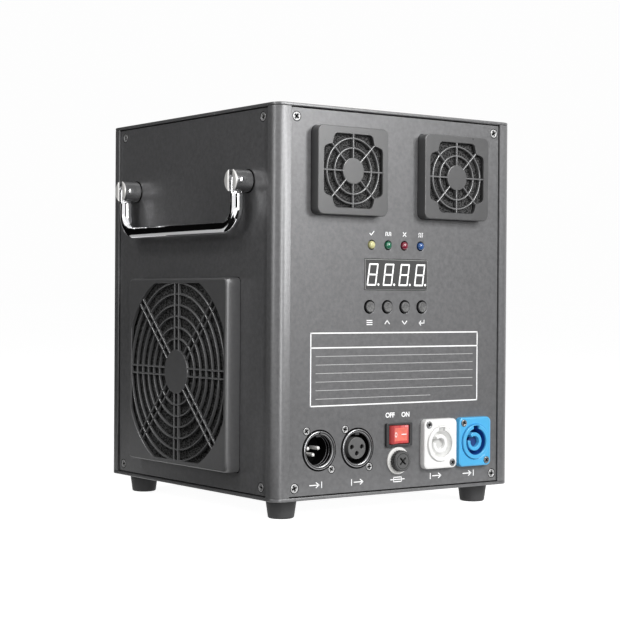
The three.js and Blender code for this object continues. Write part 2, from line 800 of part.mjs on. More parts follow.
const exhaustCover = {
  side: exhaustCoverWidth,
  corner: exhaustCoverCorner,
  depth: exhaustCoverDepth,
  opening: exhaustOpening(),
  hubRadius: exhaustHubRadius,
  ringPitch: exhaustRingPitch,
  ringCount: exhaustRingCount,
  ribWidth: exhaustRibWidth,
  spokeShifts: [0],
  flatReach: exhaustOpeningHalf + coverWall / 2,
  cornerReach: exhaustBossOffset * Math.SQRT2,
  cellSteps: 2,
};

// The foam behind a cover's grille, in the same frame as the cover.
function foamGeometry({ side, depth }) {
  const across = side - 2 * coverWall - 2 * foamClearance;
  return prism(roundedOutline(across, across, foamClearance), seat, depth - coverSkin - foamClearance, 1);
}

// A fan's frame, with the face that meets the panel at height 0 and the fan's axis at the origin.
function fanFrameGeometry({ side, depth, bore, hub }) {
  const low = -depth;
  const outer = cut(
    prism(roundedOutline(side, side, fanCorner), low, -seat, 1),
    bar(bore, 0, 0, low - overrun, overrun, fine),
  );
  const parts = [outer, bar(hub, 0, 0, low, low + fanStrutThickness, medium)];
  for (let k = 0; k < 4; k += 1) {
    const strut = box(
      [hub / 2, -fanStrutWidth / 2, low],
      [bore + fanStrutWidth / 4, fanStrutWidth / 2, low + fanStrutThickness],
    );
    parts.push(strut.rotateZ(Math.PI / 4 + (k * Math.PI) / 2));
  }
  parts.push(bar(fanShaftRadius, 0, 0, low, low + depth / 2, coarse));
  return joined(...parts);
}

function fanRotorGeometry({ depth, bore, hub, blades }) {
  const low = -depth + fanStrutThickness + running;
  const high = -bladeClearance;
  const height = high - low;
  const parts = [bar(hub, 0, 0, low, high, medium)];
  const chord = (height * bladeChordShare) / Math.sin(bladePitch);
  for (let k = 0; k < blades; k += 1) {
    const blade = new THREE.BoxGeometry(bore, chord, bladeThickness);
    blade.rotateX(bladePitch);
    blade.translate(bore / 2 + hub / 2, 0, (low + high) / 2);
    parts.push(blade.rotateZ((2 * Math.PI * k) / blades));
  }
  const sweep = bar(bore - bladeClearance, 0, 0, low, high, fine);
  const shaftRoom = bar(fanShaftRadius + running, 0, 0, low - overrun, -depth / 2 + running, coarse);
  return cut(common(joined(...parts), sweep), shaftRoom);
}

const intakeFan = {
  side: intakeFanWidth,
  depth: intakeFanDepth,
  bore: intakeFanBore,
  hub: intakeFanHub,
  blades: 7,
};
const exhaustFan = {
  side: exhaustFanWidth,
  depth: exhaustFanDepth,
  bore: exhaustFanBore,
  hub: exhaustFanHub,
  blades: 7,
};

// Adds a cover, a filter, a fan frame and its rotor on one side.
function addVent(suffix, side, face, x, z, cover, fan, names) {
  const place = (geometry, height) => onSide(geometry.translate(x, z, height), side);
  add(names.cover + suffix, place(coverGeometry(cover), face), 'coat');
  add(names.filter + suffix, place(foamGeometry(cover), face), 'foam');
  add(names.frame + suffix, place(fanFrameGeometry(fan), face - panelThickness), 'blackPlastic');
  add(names.rotor + suffix, place(fanRotorGeometry(fan), face - panelThickness), 'blackPlastic');
}

function addVents() {
  const intakeNames = {
    cover: 'intake_cover',
    filter: 'intake_filter',
    frame: 'intake_fan_frame',
    rotor: 'intake_fan_rotor',
  };
  addVent('', 'left', sideFace, 0, intakeRise, intakeCover, intakeFan, intakeNames);
  const exhaustNames = {
    cover: 'exhaust_cover',
    filter: 'exhaust_filter',
    frame: 'exhaust_fan_frame',
    rotor: 'exhaust_fan_rotor',
  };
  for (const [suffix, way] of [['_a', -1], ['_b', 1]]) {
    const x = way * exhaustOffset;
    addVent(suffix, 'control', controlFace, x, exhaustRise, exhaustCover, exhaustFan, exhaustNames);
  }
}

// Handles: two slotted posts with a cross pin each, and a bail that hangs from the pins.
function addHandle(side, wayX) {
  const pinX = wayX * (sideFace + handlePinReach);
  const slotHalf = handleRodRadius + running;
  const slotFloor = sideFace + handlePinReach - handleRodRadius - running;
  const postEnd = sideFace + handlePostLength;
  for (const [suffix, wayY] of [['_near', -1], ['_far', 1]]) {
    const y = (wayY * handleSpan) / 2;
    const ends = [wayX * (sideFace + seat), wayX * postEnd].sort((a, b) => a - b);
    const slot = [wayX * slotFloor, wayX * (postEnd + overrun)].sort((a, b) => a - b);
    const reach = handlePostRadius + overrun;
    const cleft = box(
      [slot[0], y - slotHalf, handleRise - reach],
      [slot[1], y + slotHalf, handleRise + reach],
    );
    const post = cut(barAlongX(handlePostRadius, y, handleRise, ...ends), cleft);
    const pinHalf = handlePostRadius - seat;
    const pin = barAlongY(handlePinRadius, pinX, handleRise, y - pinHalf, y + pinHalf, coarse);
    add('handle_post_' + side + suffix, joined(post, pin), 'chrome');
  }
  const half = handleSpan / 2;
  const low = handleRise - handleDrop;
  const bendSteps = 6;
  const points = [[pinX, -half, handleRise]];
  for (const wayY of [-1, 1]) {
    for (let i = 0; i <= bendSteps; i += 1) {
      const angle = (Math.PI / 2) * ((wayY < 0 ? i : bendSteps - i) / bendSteps);
      points.push([
        pinX,
        wayY * (half - handleBend + handleBend * Math.cos(angle)),
        low + handleBend - handleBend * Math.sin(angle),
      ]);
    }
  }
  points.push([pinX, half, handleRise]);
  const eyes = [-half, half].map((y) => barAlongY(
    handleRodRadius,
    pinX,
    handleRise,
    y - handleRodRadius,
    y + handleRodRadius,
    coarse,
  ));
  const reach = half + handlePostRadius;
  const pinRoom = barAlongY(handlePinRadius + running, pinX, handleRise, -reach, reach, coarse);
  const bail = cut(joined(rod(points, handleRodRadius, coarse), ...eyes), pinRoom);
  add('handle_bail_' + side, bail, 'chrome');
}

// Display, lamps, buttons and the board that carries them
function addControls() {
  const place = (geometry) => onSide(geometry, 'control');
  const panelBack = controlFace - panelThickness;
  add('display_module', place(box(
    [controlsOffset - displayWidth / 2, displayRise - displayHeight / 2, boardFace + seat],
    [controlsOffset + displayWidth / 2, displayRise + displayHeight / 2, controlFace + displayProud],
  )), 'greyPlastic');

  const lampTop = controlFace + lampProud;
  const lampBase = lampTop - lampLength;
  const domeSteps = 4;
  const lampProfile = [
    [0, lampBase],
    [lampFlange, lampBase],
    [lampFlange, lampBase + lampFlangeThickness],
    [lampRadius, lampBase + lampFlangeThickness],
    [lampRadius, lampTop - lampRadius],
  ];
  for (let i = 1; i < domeSteps; i += 1) {
    const angle = (Math.PI / 2) * (i / domeSteps);
    lampProfile.push([lampRadius * Math.cos(angle), lampTop - lampRadius + lampRadius * Math.sin(angle)]);
  }
  lampProfile.push([0, lampTop]);
  const lampNames = ['lamp_cream', 'lamp_green', 'lamp_red', 'lamp_blue'];
  const lampFinishes = ['creamLens', 'greenLens', 'redLens', 'blueLens'];
  lampPlaces.forEach((x, k) => {
    const leads = box(
      [x - lampLeadWidth / 2, lampRise - lampLeadThickness / 2, boardFace + seat],
      [x + lampLeadWidth / 2, lampRise + lampLeadThickness / 2, lampBase + overrun],
    );
    const lamp = joined(turned(lampProfile, x, lampRise, coarse), leads);
    add(lampNames[k], place(lamp), lampFinishes[k]);
  });

  const flangeTop = panelBack - running;
  const flangeLow = flangeTop - buttonFlangeThickness;
  buttonPlaces.forEach((x, k) => {
    const cap = bar(buttonRadius, x, buttonRise, flangeLow, controlFace + buttonProud);
    const flange = bar(buttonFlange, x, buttonRise, flangeLow, flangeTop, coarse);
    add('button_' + (k + 1), place(joined(cap, flange)), 'blackPlastic');
  });

  const boardTop = lampRise + boardMargin;
  const boardLow = buttonRise - boardMargin;
  const rowReach = buttonPlaces[buttonPlaces.length - 1] - controlsOffset;
  const standoffShift = rowReach + buttonFlange + standoffGap + standoffRadius;
  const boardHalf = standoffShift + standoffInset;
  const parts = [box(
    [controlsOffset - boardHalf, boardLow, boardFace - boardThickness],
    [controlsOffset + boardHalf, boardTop, boardFace],
  )];
  const tactTop = flangeLow - buttonTravel - running;
  for (const x of buttonPlaces) {
    parts.push(box(
      [x - tactWidth / 2, buttonRise - tactWidth / 2, boardFace - boardThickness / 2],
      [x + tactWidth / 2, buttonRise + tactWidth / 2, tactTop],
    ));
  }
  for (const x of [controlsOffset - standoffShift, controlsOffset + standoffShift]) {
    for (const z of [boardLow + standoffInset, boardTop - standoffInset]) {
      parts.push(bar(standoffRadius, x, z, boardFace - boardThickness / 2, panelBack - seat, coarse));
    }
  }
  add('control_board', place(joined(...parts)), 'board');
}

// Data sockets: a round barrel through the panel, with its flange behind the panel.
function dataBarrel(x, recessRadius, recessDepth) {
  const panelBack = controlFace - panelThickness;
  const rim = controlFace + dataProud;
  const flangeLow = panelBack - seat - socketFlangeThickness;
  const shell = joined(
    bar(dataBarrelRadius, x, socketRise, flangeLow, rim),
    prism(
      roundedOutline(socketFlangeWidth, socketFlangeHeight, powerFlangeCorner, x, socketRise),
      flangeLow,
      panelBack - seat,
      1,
    ),
    bar(dataBodyRadius, x, socketRise, panelBack - dataBodyLength, flangeLow + overrun),
  );
  return cut(shell, bar(recessRadius, x, socketRise, rim - recessDepth, rim + overrun));
}

const contactPlaces = [[-dataPinSpread, dataPinUp], [dataPinSpread, dataPinUp], [0, -dataPinDown]];

function addDataSockets() {
  const rim = controlFace + dataProud;
  const inletX = -socketOuter;
  const cupFloor = rim - dataCupDepth;
  const pins = contactPlaces.map(([dx, dz]) => bar(
    dataPinRadius,
    inletX + dx,
    socketRise + dz,
    cupFloor - overrun,
    cupFloor + dataPinLength,
    few,
  ));
  const key = box(
    [inletX - dataKeyWidth / 2, socketRise + dataCupRadius - dataKeyHeight, cupFloor - overrun],
    [inletX + dataKeyWidth / 2, socketRise + dataCupRadius + dataKeyHeight / 2, rim - dataKeyHeight],
  );
  const inlet = joined(dataBarrel(inletX, dataCupRadius, dataCupDepth), ...pins, key);
  add('data_inlet', onSide(inlet, 'control'), 'blackPlastic');

  const outletX = -socketInner;
  const insertTop = rim - dataInsertRecess;
  const insert = bar(dataInsertRadius, outletX, socketRise, rim - dataGrooveDepth - overrun, insertTop);
  const contactHoles = contactPlaces.map(([dx, dz]) => bar(
    dataPinRadius + running,
    outletX + dx,
    socketRise + dz,
    insertTop - dataPinLength,
    insertTop + overrun,
    few,
  ));
  const outlet = cut(joined(dataBarrel(outletX, dataCupRadius, dataGrooveDepth), insert), ...contactHoles);
  add('data_outlet', onSide(outlet, 'control'), 'blackPlastic');
}

// Twist lock power sockets: flange in front of the panel, ring shaped recess round a slotted core.
function addPowerSocket(name, x, finish) {
  const front = controlFace + powerFlangeThickness;
  const rim = front + powerRimProud;
  const floor = rim - powerRecessDepth;
  const shell = joined(
    prism(
      roundedOutline(powerFlangeWidth, powerFlangeHeight, powerFlangeCorner, x, socketRise),
      controlFace + seat,
      front,
      2,
    ),
    bar(powerRimRadius, x, socketRise, front - overrun, rim),
    bar(powerBodyRadius, x, socketRise, controlFace - powerBodyLength, controlFace + overrun),
  );
  const recess = bar(powerRecessRadius, x, socketRise, floor, rim + overrun);
  const key = box(
    [x - powerKeyWidth / 2, socketRise, floor],
    [x + powerKeyWidth / 2, socketRise + powerKeyReach, rim + overrun],
  );
  const coreTop = rim - powerCoreRecess;
  const core = cut(
    bar(powerCoreRadius, x, socketRise, floor - overrun, coreTop),
    bar(powerPocketRadius, x, socketRise, coreTop - powerSlotDepth, coreTop + overrun, coarse),
    box(
      [x - powerCoreRadius - overrun, socketRise - powerSlotWidth / 4, coreTop - powerSlotDepth],
      [x, socketRise + powerSlotWidth, coreTop + overrun],
    ),
  );
  add(name, onSide(joined(cut(shell, recess, key), core), 'control'), finish);
}

// Rocker switch: a hollow body with a bezel, and the rocker that turns on two trunnions.
function addSwitch() {
  const pivot = controlFace - rockerPivotDepth;
  const bezelTop = controlFace + bezelProud;
  const roomHalf = rockerRadius + running;
  const roomHeight = rockerHeight / 2 + running;
  const roomFloor = pivot - rockerRadius;
  const shell = joined(
    prism(
      roundedOutline(bezelWidth, bezelHeight, bezelCorner, 0, switchRise),
      controlFace + seat,
      bezelTop,
      1,
    ),
    box(
      [-switchBodyWidth / 2, switchRise - switchBodyHeight / 2, controlFace - switchBodyDepth],
      [switchBodyWidth / 2, switchRise + switchBodyHeight / 2, controlFace + overrun],
    ),
  );
  const room = box(
    [-roomHalf, switchRise - roomHeight, roomFloor],
    [roomHalf, switchRise + roomHeight, bezelTop + overrun],
  );
  const sockets = new THREE.CylinderGeometry(
    trunnionRadius + running,
    trunnionRadius + running,
    rockerHeight + 2 * trunnionLength + 2 * running,
    coarse,
  ).translate(0, switchRise, pivot);
  add('power_switch_body', onSide(cut(shell, room, sockets), 'control'), 'blackPlastic');

  const tilt = THREE.MathUtils.degToRad(rockerTiltDegrees);
  const endLow = Math.asin(rockerBase / rockerRadius);
  const endHigh = Math.asin(rockerTop / rockerRadius);
  const endSteps = 4;
  const points = [];
  for (let i = 0; i <= endSteps; i += 1) {
    const angle = -endLow + ((endLow + endHigh) * i) / endSteps;
    points.push([rockerRadius * Math.cos(angle), rockerRadius * Math.sin(angle)]);
  }
  points.push([0, rockerDip]);
  for (let i = endSteps; i >= 0; i -= 1) {
    const angle = -endLow + ((endLow + endHigh) * i) / endSteps;
    points.push([-rockerRadius * Math.cos(angle), rockerRadius * Math.sin(angle)]);
  }
  const facingControl = points.map(([across, outward]) => [across, -outward]);
  const low = switchRise - rockerHeight / 2;
  const high = switchRise + rockerHeight / 2;
  const rocker = joined(
    prism(polygonOutline(facingControl), low, high),
    bar(trunnionRadius, 0, 0, low - trunnionLength, high + trunnionLength, coarse),
  );
  rocker.rotateZ(-tilt);
  rocker.translate(0, -pivot, 0);
  add('power_rocker', rocker, 'redPlastic');
}

function addFuse() {
  const collarTop = controlFace + seat + fuseCollarProud;
  const panelBack = controlFace - panelThickness;
  const boreRadius = fusePlugRadius + running;
  const nut = new THREE.CylinderGeometry(fuseNutRadius, fuseNutRadius, fuseNutThickness, nutSides);
  nut.rotateX(Math.PI / 2).translate(0, fuseRise, panelBack - seat - fuseNutThickness / 2);
  const holder = cut(
    joined(
      bar(fuseCollarRadius, 0, fuseRise, controlFace + seat, collarTop),
      bar(fuseBodyRadius, 0, fuseRise, controlFace - fuseBodyLength, controlFace + overrun),
      nut,
    ),
    bar(boreRadius, 0, fuseRise, collarTop - fusePlugLength - fusePlugRadius, collarTop + overrun),
  );
  add('fuse_holder', onSide(holder, 'control'), 'nickel');

  const capLow = collarTop + running;
  const capTop = capLow + fuseCapHeight;
  const cap = turned([
    [0, capLow - fusePlugLength],
    [fusePlugRadius, capLow - fusePlugLength],
    [fusePlugRadius, capLow],
    [fuseCapRadius, capLow],
    [fuseCapRadius, capTop - fuseCapChamfer],
    [fuseCapRadius - fuseCapChamfer, capTop],
    [0, capTop],
  ], 0, fuseRise);
  const slots = [1, -1].map((way) => new THREE.BoxGeometry(fuseSlotLength, fuseSlotWidth, 2 * fuseSlotDepth)
    .rotateZ((way * Math.PI) / 4)
    .translate(0, fuseRise, capTop));
  add('fuse_cap', onSide(cut(cap, ...slots), 'control'), 'blackPlastic');
}

// Nozzle and hopper lid
function addTopParts() {
  const flangeLow = caseTop + seat;
  const flangeTop = flangeLow + nozzleFlangeThickness;
  add('spark_nozzle', turned([
    [nozzleBore, nozzleEnd],
    [nozzleRadius, nozzleEnd],
    [nozzleRadius, flangeLow],
    [nozzleFlangeRadius, flangeLow],
    [nozzleFlangeRadius, flangeTop - nozzleChamfer],
    [nozzleFlangeRadius - nozzleChamfer, flangeTop],
    [nozzleBore + nozzleChamfer, flangeTop],
    [nozzleBore, flangeTop - nozzleChamfer],
    [nozzleBore, nozzleEnd],
  ], 0, 0, fine), 'steel');

  const lidLow = caseTop + running;
  const lidTop = lidLow + lidThickness;
  const lidHalf = mouthWidth / 2 + lidOverlap;
  const lidFront = mouthFront - lidOverlap;
  const lidBack = mouthBack + lidOverlap;
  const plate = box([-lidHalf, lidFront, lidLow], [lidHalf, lidBack, lidTop]);
  const tongue = box(
    [-hingeBarrelLength / 2, lidBack - overrun, lidLow],
    [hingeBarrelLength / 2, hingeAxisY, lidTop],
  );
  const barrelHalf = hingeBarrelLength / 2;
  const barrel = barAlongX(hingeRadius, hingeAxisY, hingeAxisZ, -barrelHalf, barrelHalf, coarse);
  const knob = bar(knobRadius, 0, lidFront + knobInset, lidLow + lidThickness / 2, lidTop + knobHeight);
  const pinReach = hingeEarStart + hingeEarLength;
  const pinRoom = barAlongX(
    hingePinRadius + running,
    hingeAxisY,
    hingeAxisZ,
    -pinReach,
    pinReach,
    coarse,
  );
  add('hopper_lid', cut(joined(plate, tongue, barrel, knob), pinRoom), 'coat');
}

// Hopper with its trough, the feed screw and the feed motor
function addFeed() {
  const rimTop = ceiling - seat;
  const rimLow = rimTop - hopperWall;
  const mouthHalf = mouthWidth / 2;
  const slotHalf = troughSlotWidth / 2;
  const troughFront = portReach + seat;
  const troughRadius = troughBore + hopperWall;
  const wall = hopperWall;
  const funnelFront = mouthFront - funnelLead;
  const funnelBack = mouthBack - funnelInset;
  const outer = funnel(
    [-slotHalf - wall, slotHalf + wall, funnelFront - wall, funnelBack + wall, troughRise],
    [-mouthHalf - wall, mouthHalf + wall, mouthFront - wall, mouthBack + wall, rimLow + overrun],
  );
  const inner = funnel(
    [-slotHalf, slotHalf, funnelFront, funnelBack, troughRise],
    [-mouthHalf, mouthHalf, mouthFront, mouthBack, rimLow],
  );
  const rim = box(
    [-mouthHalf - hopperRim, mouthFront - hopperRim / 2, rimLow],
    [mouthHalf + hopperRim, mouthBack + hopperRim, rimTop],
  );
  const mouth = box(
    [-mouthHalf, mouthFront, rimLow - overrun],
    [mouthHalf, mouthBack, rimTop + overrun],
  );
  const plateTop = troughBack + bearingPlate;
  const hopper = cut(
    joined(
      outer,
      rim,
      barAlongY(troughRadius, 0, troughRise, troughFront, troughBack + overrun),
      barAlongY(feedMotorRadius, 0, troughRise, troughBack, plateTop),
    ),
    inner,
    mouth,
    barAlongY(troughBore, 0, troughRise, troughFront - overrun, troughBack),
    barAlongY(screwCore + running, 0, troughRise, troughBack - overrun, plateTop + overrun, coarse),
  );
  add('granule_hopper', hopper, 'steel');

  const motorStart = plateTop + seat;
  const motor = cut(
    barAlongY(feedMotorRadius, 0, troughRise, motorStart, motorStart + feedMotorLength),
    barAlongY(
      screwCore + running,
      0,
      troughRise,
      motorStart - overrun,
      motorStart + feedMotorBoreDepth,
      coarse,
    ),
  );
  add('feed_motor', motor, 'steel');

  const coreEnd = motorStart + feedMotorBoreDepth - running;
  const core = barAlongY(screwCore, 0, troughRise, screwFront, coreEnd, coarse);
  add('feed_screw', joined(core, flightGeometry()), 'steel');
}

// The screw's flight: a rectangular section carried round the core by a loop.
function flightGeometry() {
  const stepsPerTurn = 12;
  const steps = screwTurns * stepsPerTurn;
  const root = screwCore / 2;
  const tip = troughBore - screwClearance;
  const back = screwFlightThickness;
  const screwPitch = (troughBack - screwEndGap - screwFlightThickness - screwFront) / screwTurns;
  const section = [[root, 0], [tip, 0], [tip, back], [root, back]];
  const places = [];
  const faces = [];
  for (let i = 0; i <= steps; i += 1) {
    const angle = (2 * Math.PI * i) / stepsPerTurn;
    const y = screwFront + (screwPitch * i) / stepsPerTurn;
    for (const [radius, shift] of section) {
      places.push(radius * Math.cos(angle), y + shift, troughRise + radius * Math.sin(angle));
    }
  }
  for (let i = 0; i < steps; i += 1) {
    for (let k = 0; k < 4; k += 1) {
      const [a, b] = [4 * i + k, 4 * i + ((k + 1) % 4)];
      faces.push(a, b, b + 4, a, b + 4, a + 4);
    }
  }
  const end = 4 * steps;
  faces.push(0, 2, 1, 0, 3, 2, end, end + 1, end + 2, end, end + 2, end + 3);
  const geometry = new THREE.BufferGeometry();
  geometry.setAttribute('position', new THREE.Float32BufferAttribute(places, 3));
  geometry.setIndex(faces);
  return geometry;
}

// Spark chamber with duct and pedestal, coil, impeller and impeller motor
function addEngine() {
  const half = drumLength / 2;
  const insideHalf = half - drumEndWall;
  const baseLow = floorTop + seat;
  const drumTop = drumRise + drumRadius;
  const ductRoom = troughRise - portRadius - drumTop;
  const coilRise = drumTop + coilLowShare * ductRoom;
  const coilTop = drumTop + coilHighShare * ductRoom;
  const ledgeLow = coilRise - seat - coilLedgeThickness;
  const chamber = cut(
    joined(
      barAlongY(drumRadius, 0, drumRise, -half, half, fine),
      bar(ductRadius, 0, 0, drumRise, nozzleEnd + ductSocketDepth),
      bar(coilLedgeRadius, 0, 0, ledgeLow, ledgeLow + coilLedgeThickness),
      barAlongY(portRadius, 0, troughRise, 0, portReach),
      box([-pedestalWidth / 2, -half, baseLow], [pedestalWidth / 2, half, drumRise - drumRadius / 2]),
      box(
        [-pedestalBaseWidth / 2, -half - pedestalBaseThickness, baseLow],
        [pedestalBaseWidth / 2, half + pedestalBaseThickness, baseLow + pedestalBaseThickness],
      ),
    ),
    barAlongY(drumRadius - drumWall, 0, drumRise, -insideHalf, insideHalf, fine),
    bar(nozzleBore, 0, 0, drumRise, nozzleEnd + overrun),
    bar(nozzleRadius + running, 0, 0, nozzleEnd - seat, nozzleEnd + ductSocketDepth + overrun),
    barAlongY(troughBore, 0, troughRise, 0, portReach + overrun),
    barAlongY(shaftRadius + running, 0, drumRise, 0, half + overrun, coarse),
  );
  add('spark_chamber', chamber, 'steel');

  const [inner, outer] = [ductRadius + running, coilRadius];
  add('induction_coil', turned([
    [inner, coilRise],
    [outer, coilRise],
    [outer, coilTop],
    [inner, coilTop],
    [inner, coilRise],
  ]), 'copper');

  const wheelHalf = impellerWidth / 2;
  const shaftEnd = half + shaftMotorLength;
  const parts = [
    barAlongY(impellerRadius, 0, drumRise, wheelHalf - impellerDisc, wheelHalf, fine),
    barAlongY(impellerHub, 0, drumRise, -wheelHalf, wheelHalf),
    barAlongY(shaftRadius, 0, drumRise, 0, shaftEnd, coarse),
  ];
  for (let k = 0; k < impellerPaddles; k += 1) {
    const paddle = box(
      [impellerHub - overrun, -wheelHalf, -paddleThickness / 2],
      [impellerRadius, wheelHalf - impellerDisc / 2, paddleThickness / 2],
    );
    paddle.rotateY((2 * Math.PI * k) / impellerPaddles).translate(0, 0, drumRise);
    parts.push(paddle);
  }
  add('impeller', joined(...parts), 'steel');

  const motorStart = half + seat;
  add('impeller_motor', cut(
    barAlongY(impellerMotorRadius, 0, drumRise, motorStart, motorStart + impellerMotorLength),
    barAlongY(shaftRadius + running, 0, drumRise, motorStart - overrun, shaftEnd + running, coarse),
  ), 'steel');

  const supplyRight = sideFace - panelThickness - supplyFromWall;
  const supplyMiddle = supplyRight - supplyWidth / 2;
  const supplyLow = floorTop + seat;
  add('power_supply', prism(
    roundedOutline(supplyWidth, supplyLength, supplyCorner, supplyMiddle, 0),
    supplyLow,
    supplyLow + supplyHeight,
    1,
  ), 'steel');
}

addPlates();
addPosts();
addFeet();
addPanels();
addVents();
addHandle('left', -1);
addHandle('right', 1);
addControls();
addDataSockets();
addPowerSocket('power_outlet', socketInner, 'whitePlastic');
addPowerSocket('power_inlet', socketOuter, 'bluePlastic');
addSwitch();
addFuse();
addTopParts();
addFeed();
addEngine();

export default machine;
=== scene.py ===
# Looks of the spark machine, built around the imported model.
# Pieces are made in millimetres in a frame of their own and placed by a matrix in metres.
import json
import math

import bpy
from mathutils import Matrix, Vector, geometry, noise


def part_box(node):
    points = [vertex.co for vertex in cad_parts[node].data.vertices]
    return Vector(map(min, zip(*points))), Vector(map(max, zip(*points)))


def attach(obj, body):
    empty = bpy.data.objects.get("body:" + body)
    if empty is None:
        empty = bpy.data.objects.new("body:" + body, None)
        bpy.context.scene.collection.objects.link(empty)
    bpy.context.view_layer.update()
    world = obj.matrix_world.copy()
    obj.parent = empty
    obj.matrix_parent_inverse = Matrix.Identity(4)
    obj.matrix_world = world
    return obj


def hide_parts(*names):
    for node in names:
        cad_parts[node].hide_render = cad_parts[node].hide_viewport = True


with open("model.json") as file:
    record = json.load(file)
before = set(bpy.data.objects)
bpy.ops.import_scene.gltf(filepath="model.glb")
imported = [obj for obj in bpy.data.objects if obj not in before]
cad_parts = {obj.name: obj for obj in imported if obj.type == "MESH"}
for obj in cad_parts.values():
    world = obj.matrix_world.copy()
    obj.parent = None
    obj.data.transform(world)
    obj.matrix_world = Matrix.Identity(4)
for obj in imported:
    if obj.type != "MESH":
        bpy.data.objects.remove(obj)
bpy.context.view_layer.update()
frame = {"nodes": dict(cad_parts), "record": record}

# Sizes of the part, in millimetres, as its solids have them
MM = 0.001
WIDTH, DEPTH, HEIGHT, CORNER = 190, 202, 240, 7
PLATE = 2
POST_FACE, POST_FLANGE, POST_WALL = 10.5, 20, 2
RECESS, PANEL, GAP, SEAT = 1.2, 1.5, 0.4, 0.05
CONTROL = DEPTH / 2 - RECESS
SIDE = WIDTH / 2 - RECESS
POCKET = RECESS + PANEL + SEAT
CONTROLS_U, LAMP_PITCH, BUTTON_PITCH = -2.2, 13.2, 14.1
LAMP_U = [CONTROLS_U + k * LAMP_PITCH for k in (-1.5, -0.5, 0.5, 1.5)]
BUTTON_U = [CONTROLS_U + k * BUTTON_PITCH for k in (-1.5, -0.5, 0.5, 1.5)]
LAMP_V, DISPLAY_V, BUTTON_V = 156, 137.6, 117.3
SOCKET_V, SOCKET_IN, SOCKET_OUT = 29.7, 32.3, 61.7
DATA_CUP, DATA_SCREW = 9.6, (9.5, 12)
SWITCH_V, FUSE_V = 36.8, 20.3
EXHAUST_U, EXHAUST_V = 42, 200.5
INTAKE_V = 74.6
HANDLE_V, HANDLE_HALF, PIN_REACH = 194, 68, 8.2
BEND_U, BEND_V, BEND_R, ROD = 55, 15.3, 13, 4.0
SIDE_SCREW_U, END_SCREW_U, PANEL_SCREW_V = 84, 80, (7.6, 232)
FOOT_INSET = (17, 18)
LID_AXIS_Y, LID_AXIS_RISE = 87.6, 3.2
HOLES = {"fan": 23, "intake": 57.5, "socket": 12.15, "lamp": 3.05, "button": 4.3, "fuse": 6.5,
         "data_screw": 2.45, "nozzle": 15.3}

low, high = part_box("bottom_plate")
CASE = Vector(((low.x + high.x) / 2, (low.y + high.y) / 2, low.z))
TURNS = {"control": 0, "right": 90, "front": 180, "left": -90}


def upright(x=0, y=0, z=0):
    """Places a shape made in the case's own frame."""
    return Matrix.Translation(CASE) @ Matrix.Scale(MM, 4) @ Matrix.Translation((x, y, z))


def on_side(name, u=0, v=0, w=0):
    """Places a shape made as (right, up, outward) on one side of the case."""
    facing = Matrix.Rotation(math.radians(TURNS[name]), 4, "Z") @ Matrix.Rotation(math.pi / 2, 4, "X")
    return Matrix.Translation(CASE) @ facing @ Matrix.Scale(MM, 4) @ Matrix.Translation((u, v, w))


def on_control(u, v, w=CONTROL):
    return on_side("control", u, v, w)


# Shapes are pairs of points and faces
def circle(radius, count=48, x=0, y=0):
    angles = [2 * math.pi * k / count for k in range(count)]
    return [(x + radius * math.cos(a), y + radius * math.sin(a)) for a in angles]


def rounded(width, height, radius, x=0, y=0, steps=6):
    points = []
    for k, (sx, sy) in enumerate(((1, -1), (1, 1), (-1, 1), (-1, -1))):
        cx, cy = x + sx * (width / 2 - radius), y + sy * (height / 2 - radius)
        for i in range(steps + 1):
            a = math.pi / 2 * (k - 1 + i / steps)
            points.append((cx + radius * math.cos(a), cy + radius * math.sin(a)))
    return points


def area(loop):
    return sum(a[0] * b[1] - b[0] * a[1] for a, b in zip(loop, loop[1:] + loop[:1])) / 2


def inset(loop, amount):
    """Moves a loop to its left by an amount: inward when it runs anticlockwise."""
    out = []
    for i, (x, y) in enumerate(loop):
        before, after = Vector(loop[i - 1]), Vector(loop[(i + 1) % len(loop)])
        here = Vector((x, y))
        a, b = (here - before).normalized(), (after - here).normalized()
        na, nb = Vector((-a.y, a.x)), Vector((-b.y, b.x))
        n = (na + nb).normalized()
        n = n * (amount / max(n.dot(na), 0.4))
        out.append((x + n.x, y + n.y))
    return out


def skin(loops, high_cap=True, ring=False):
    """Joins loops of as many points each with quads. A ring has no caps."""
    n = len(loops[0])
    points = [p for loop in loops for p in loop]
    faces = []
    rows = len(loops) if ring else len(loops) - 1
    for j in range(rows):
        a, b = j * n, ((j + 1) % len(loops)) * n
        for i in range(n):
            k = (i + 1) % n
            faces.append((a + i, a + k, b + k, b + i))
    if not ring:
        faces.append(tuple(reversed(range(n))))
        if high_cap:
            faces.append(tuple(range((len(loops) - 1) * n, len(loops) * n)))
    return points, faces


def lift(loop, z):
    return [(x, y, z) for x, y in loop]


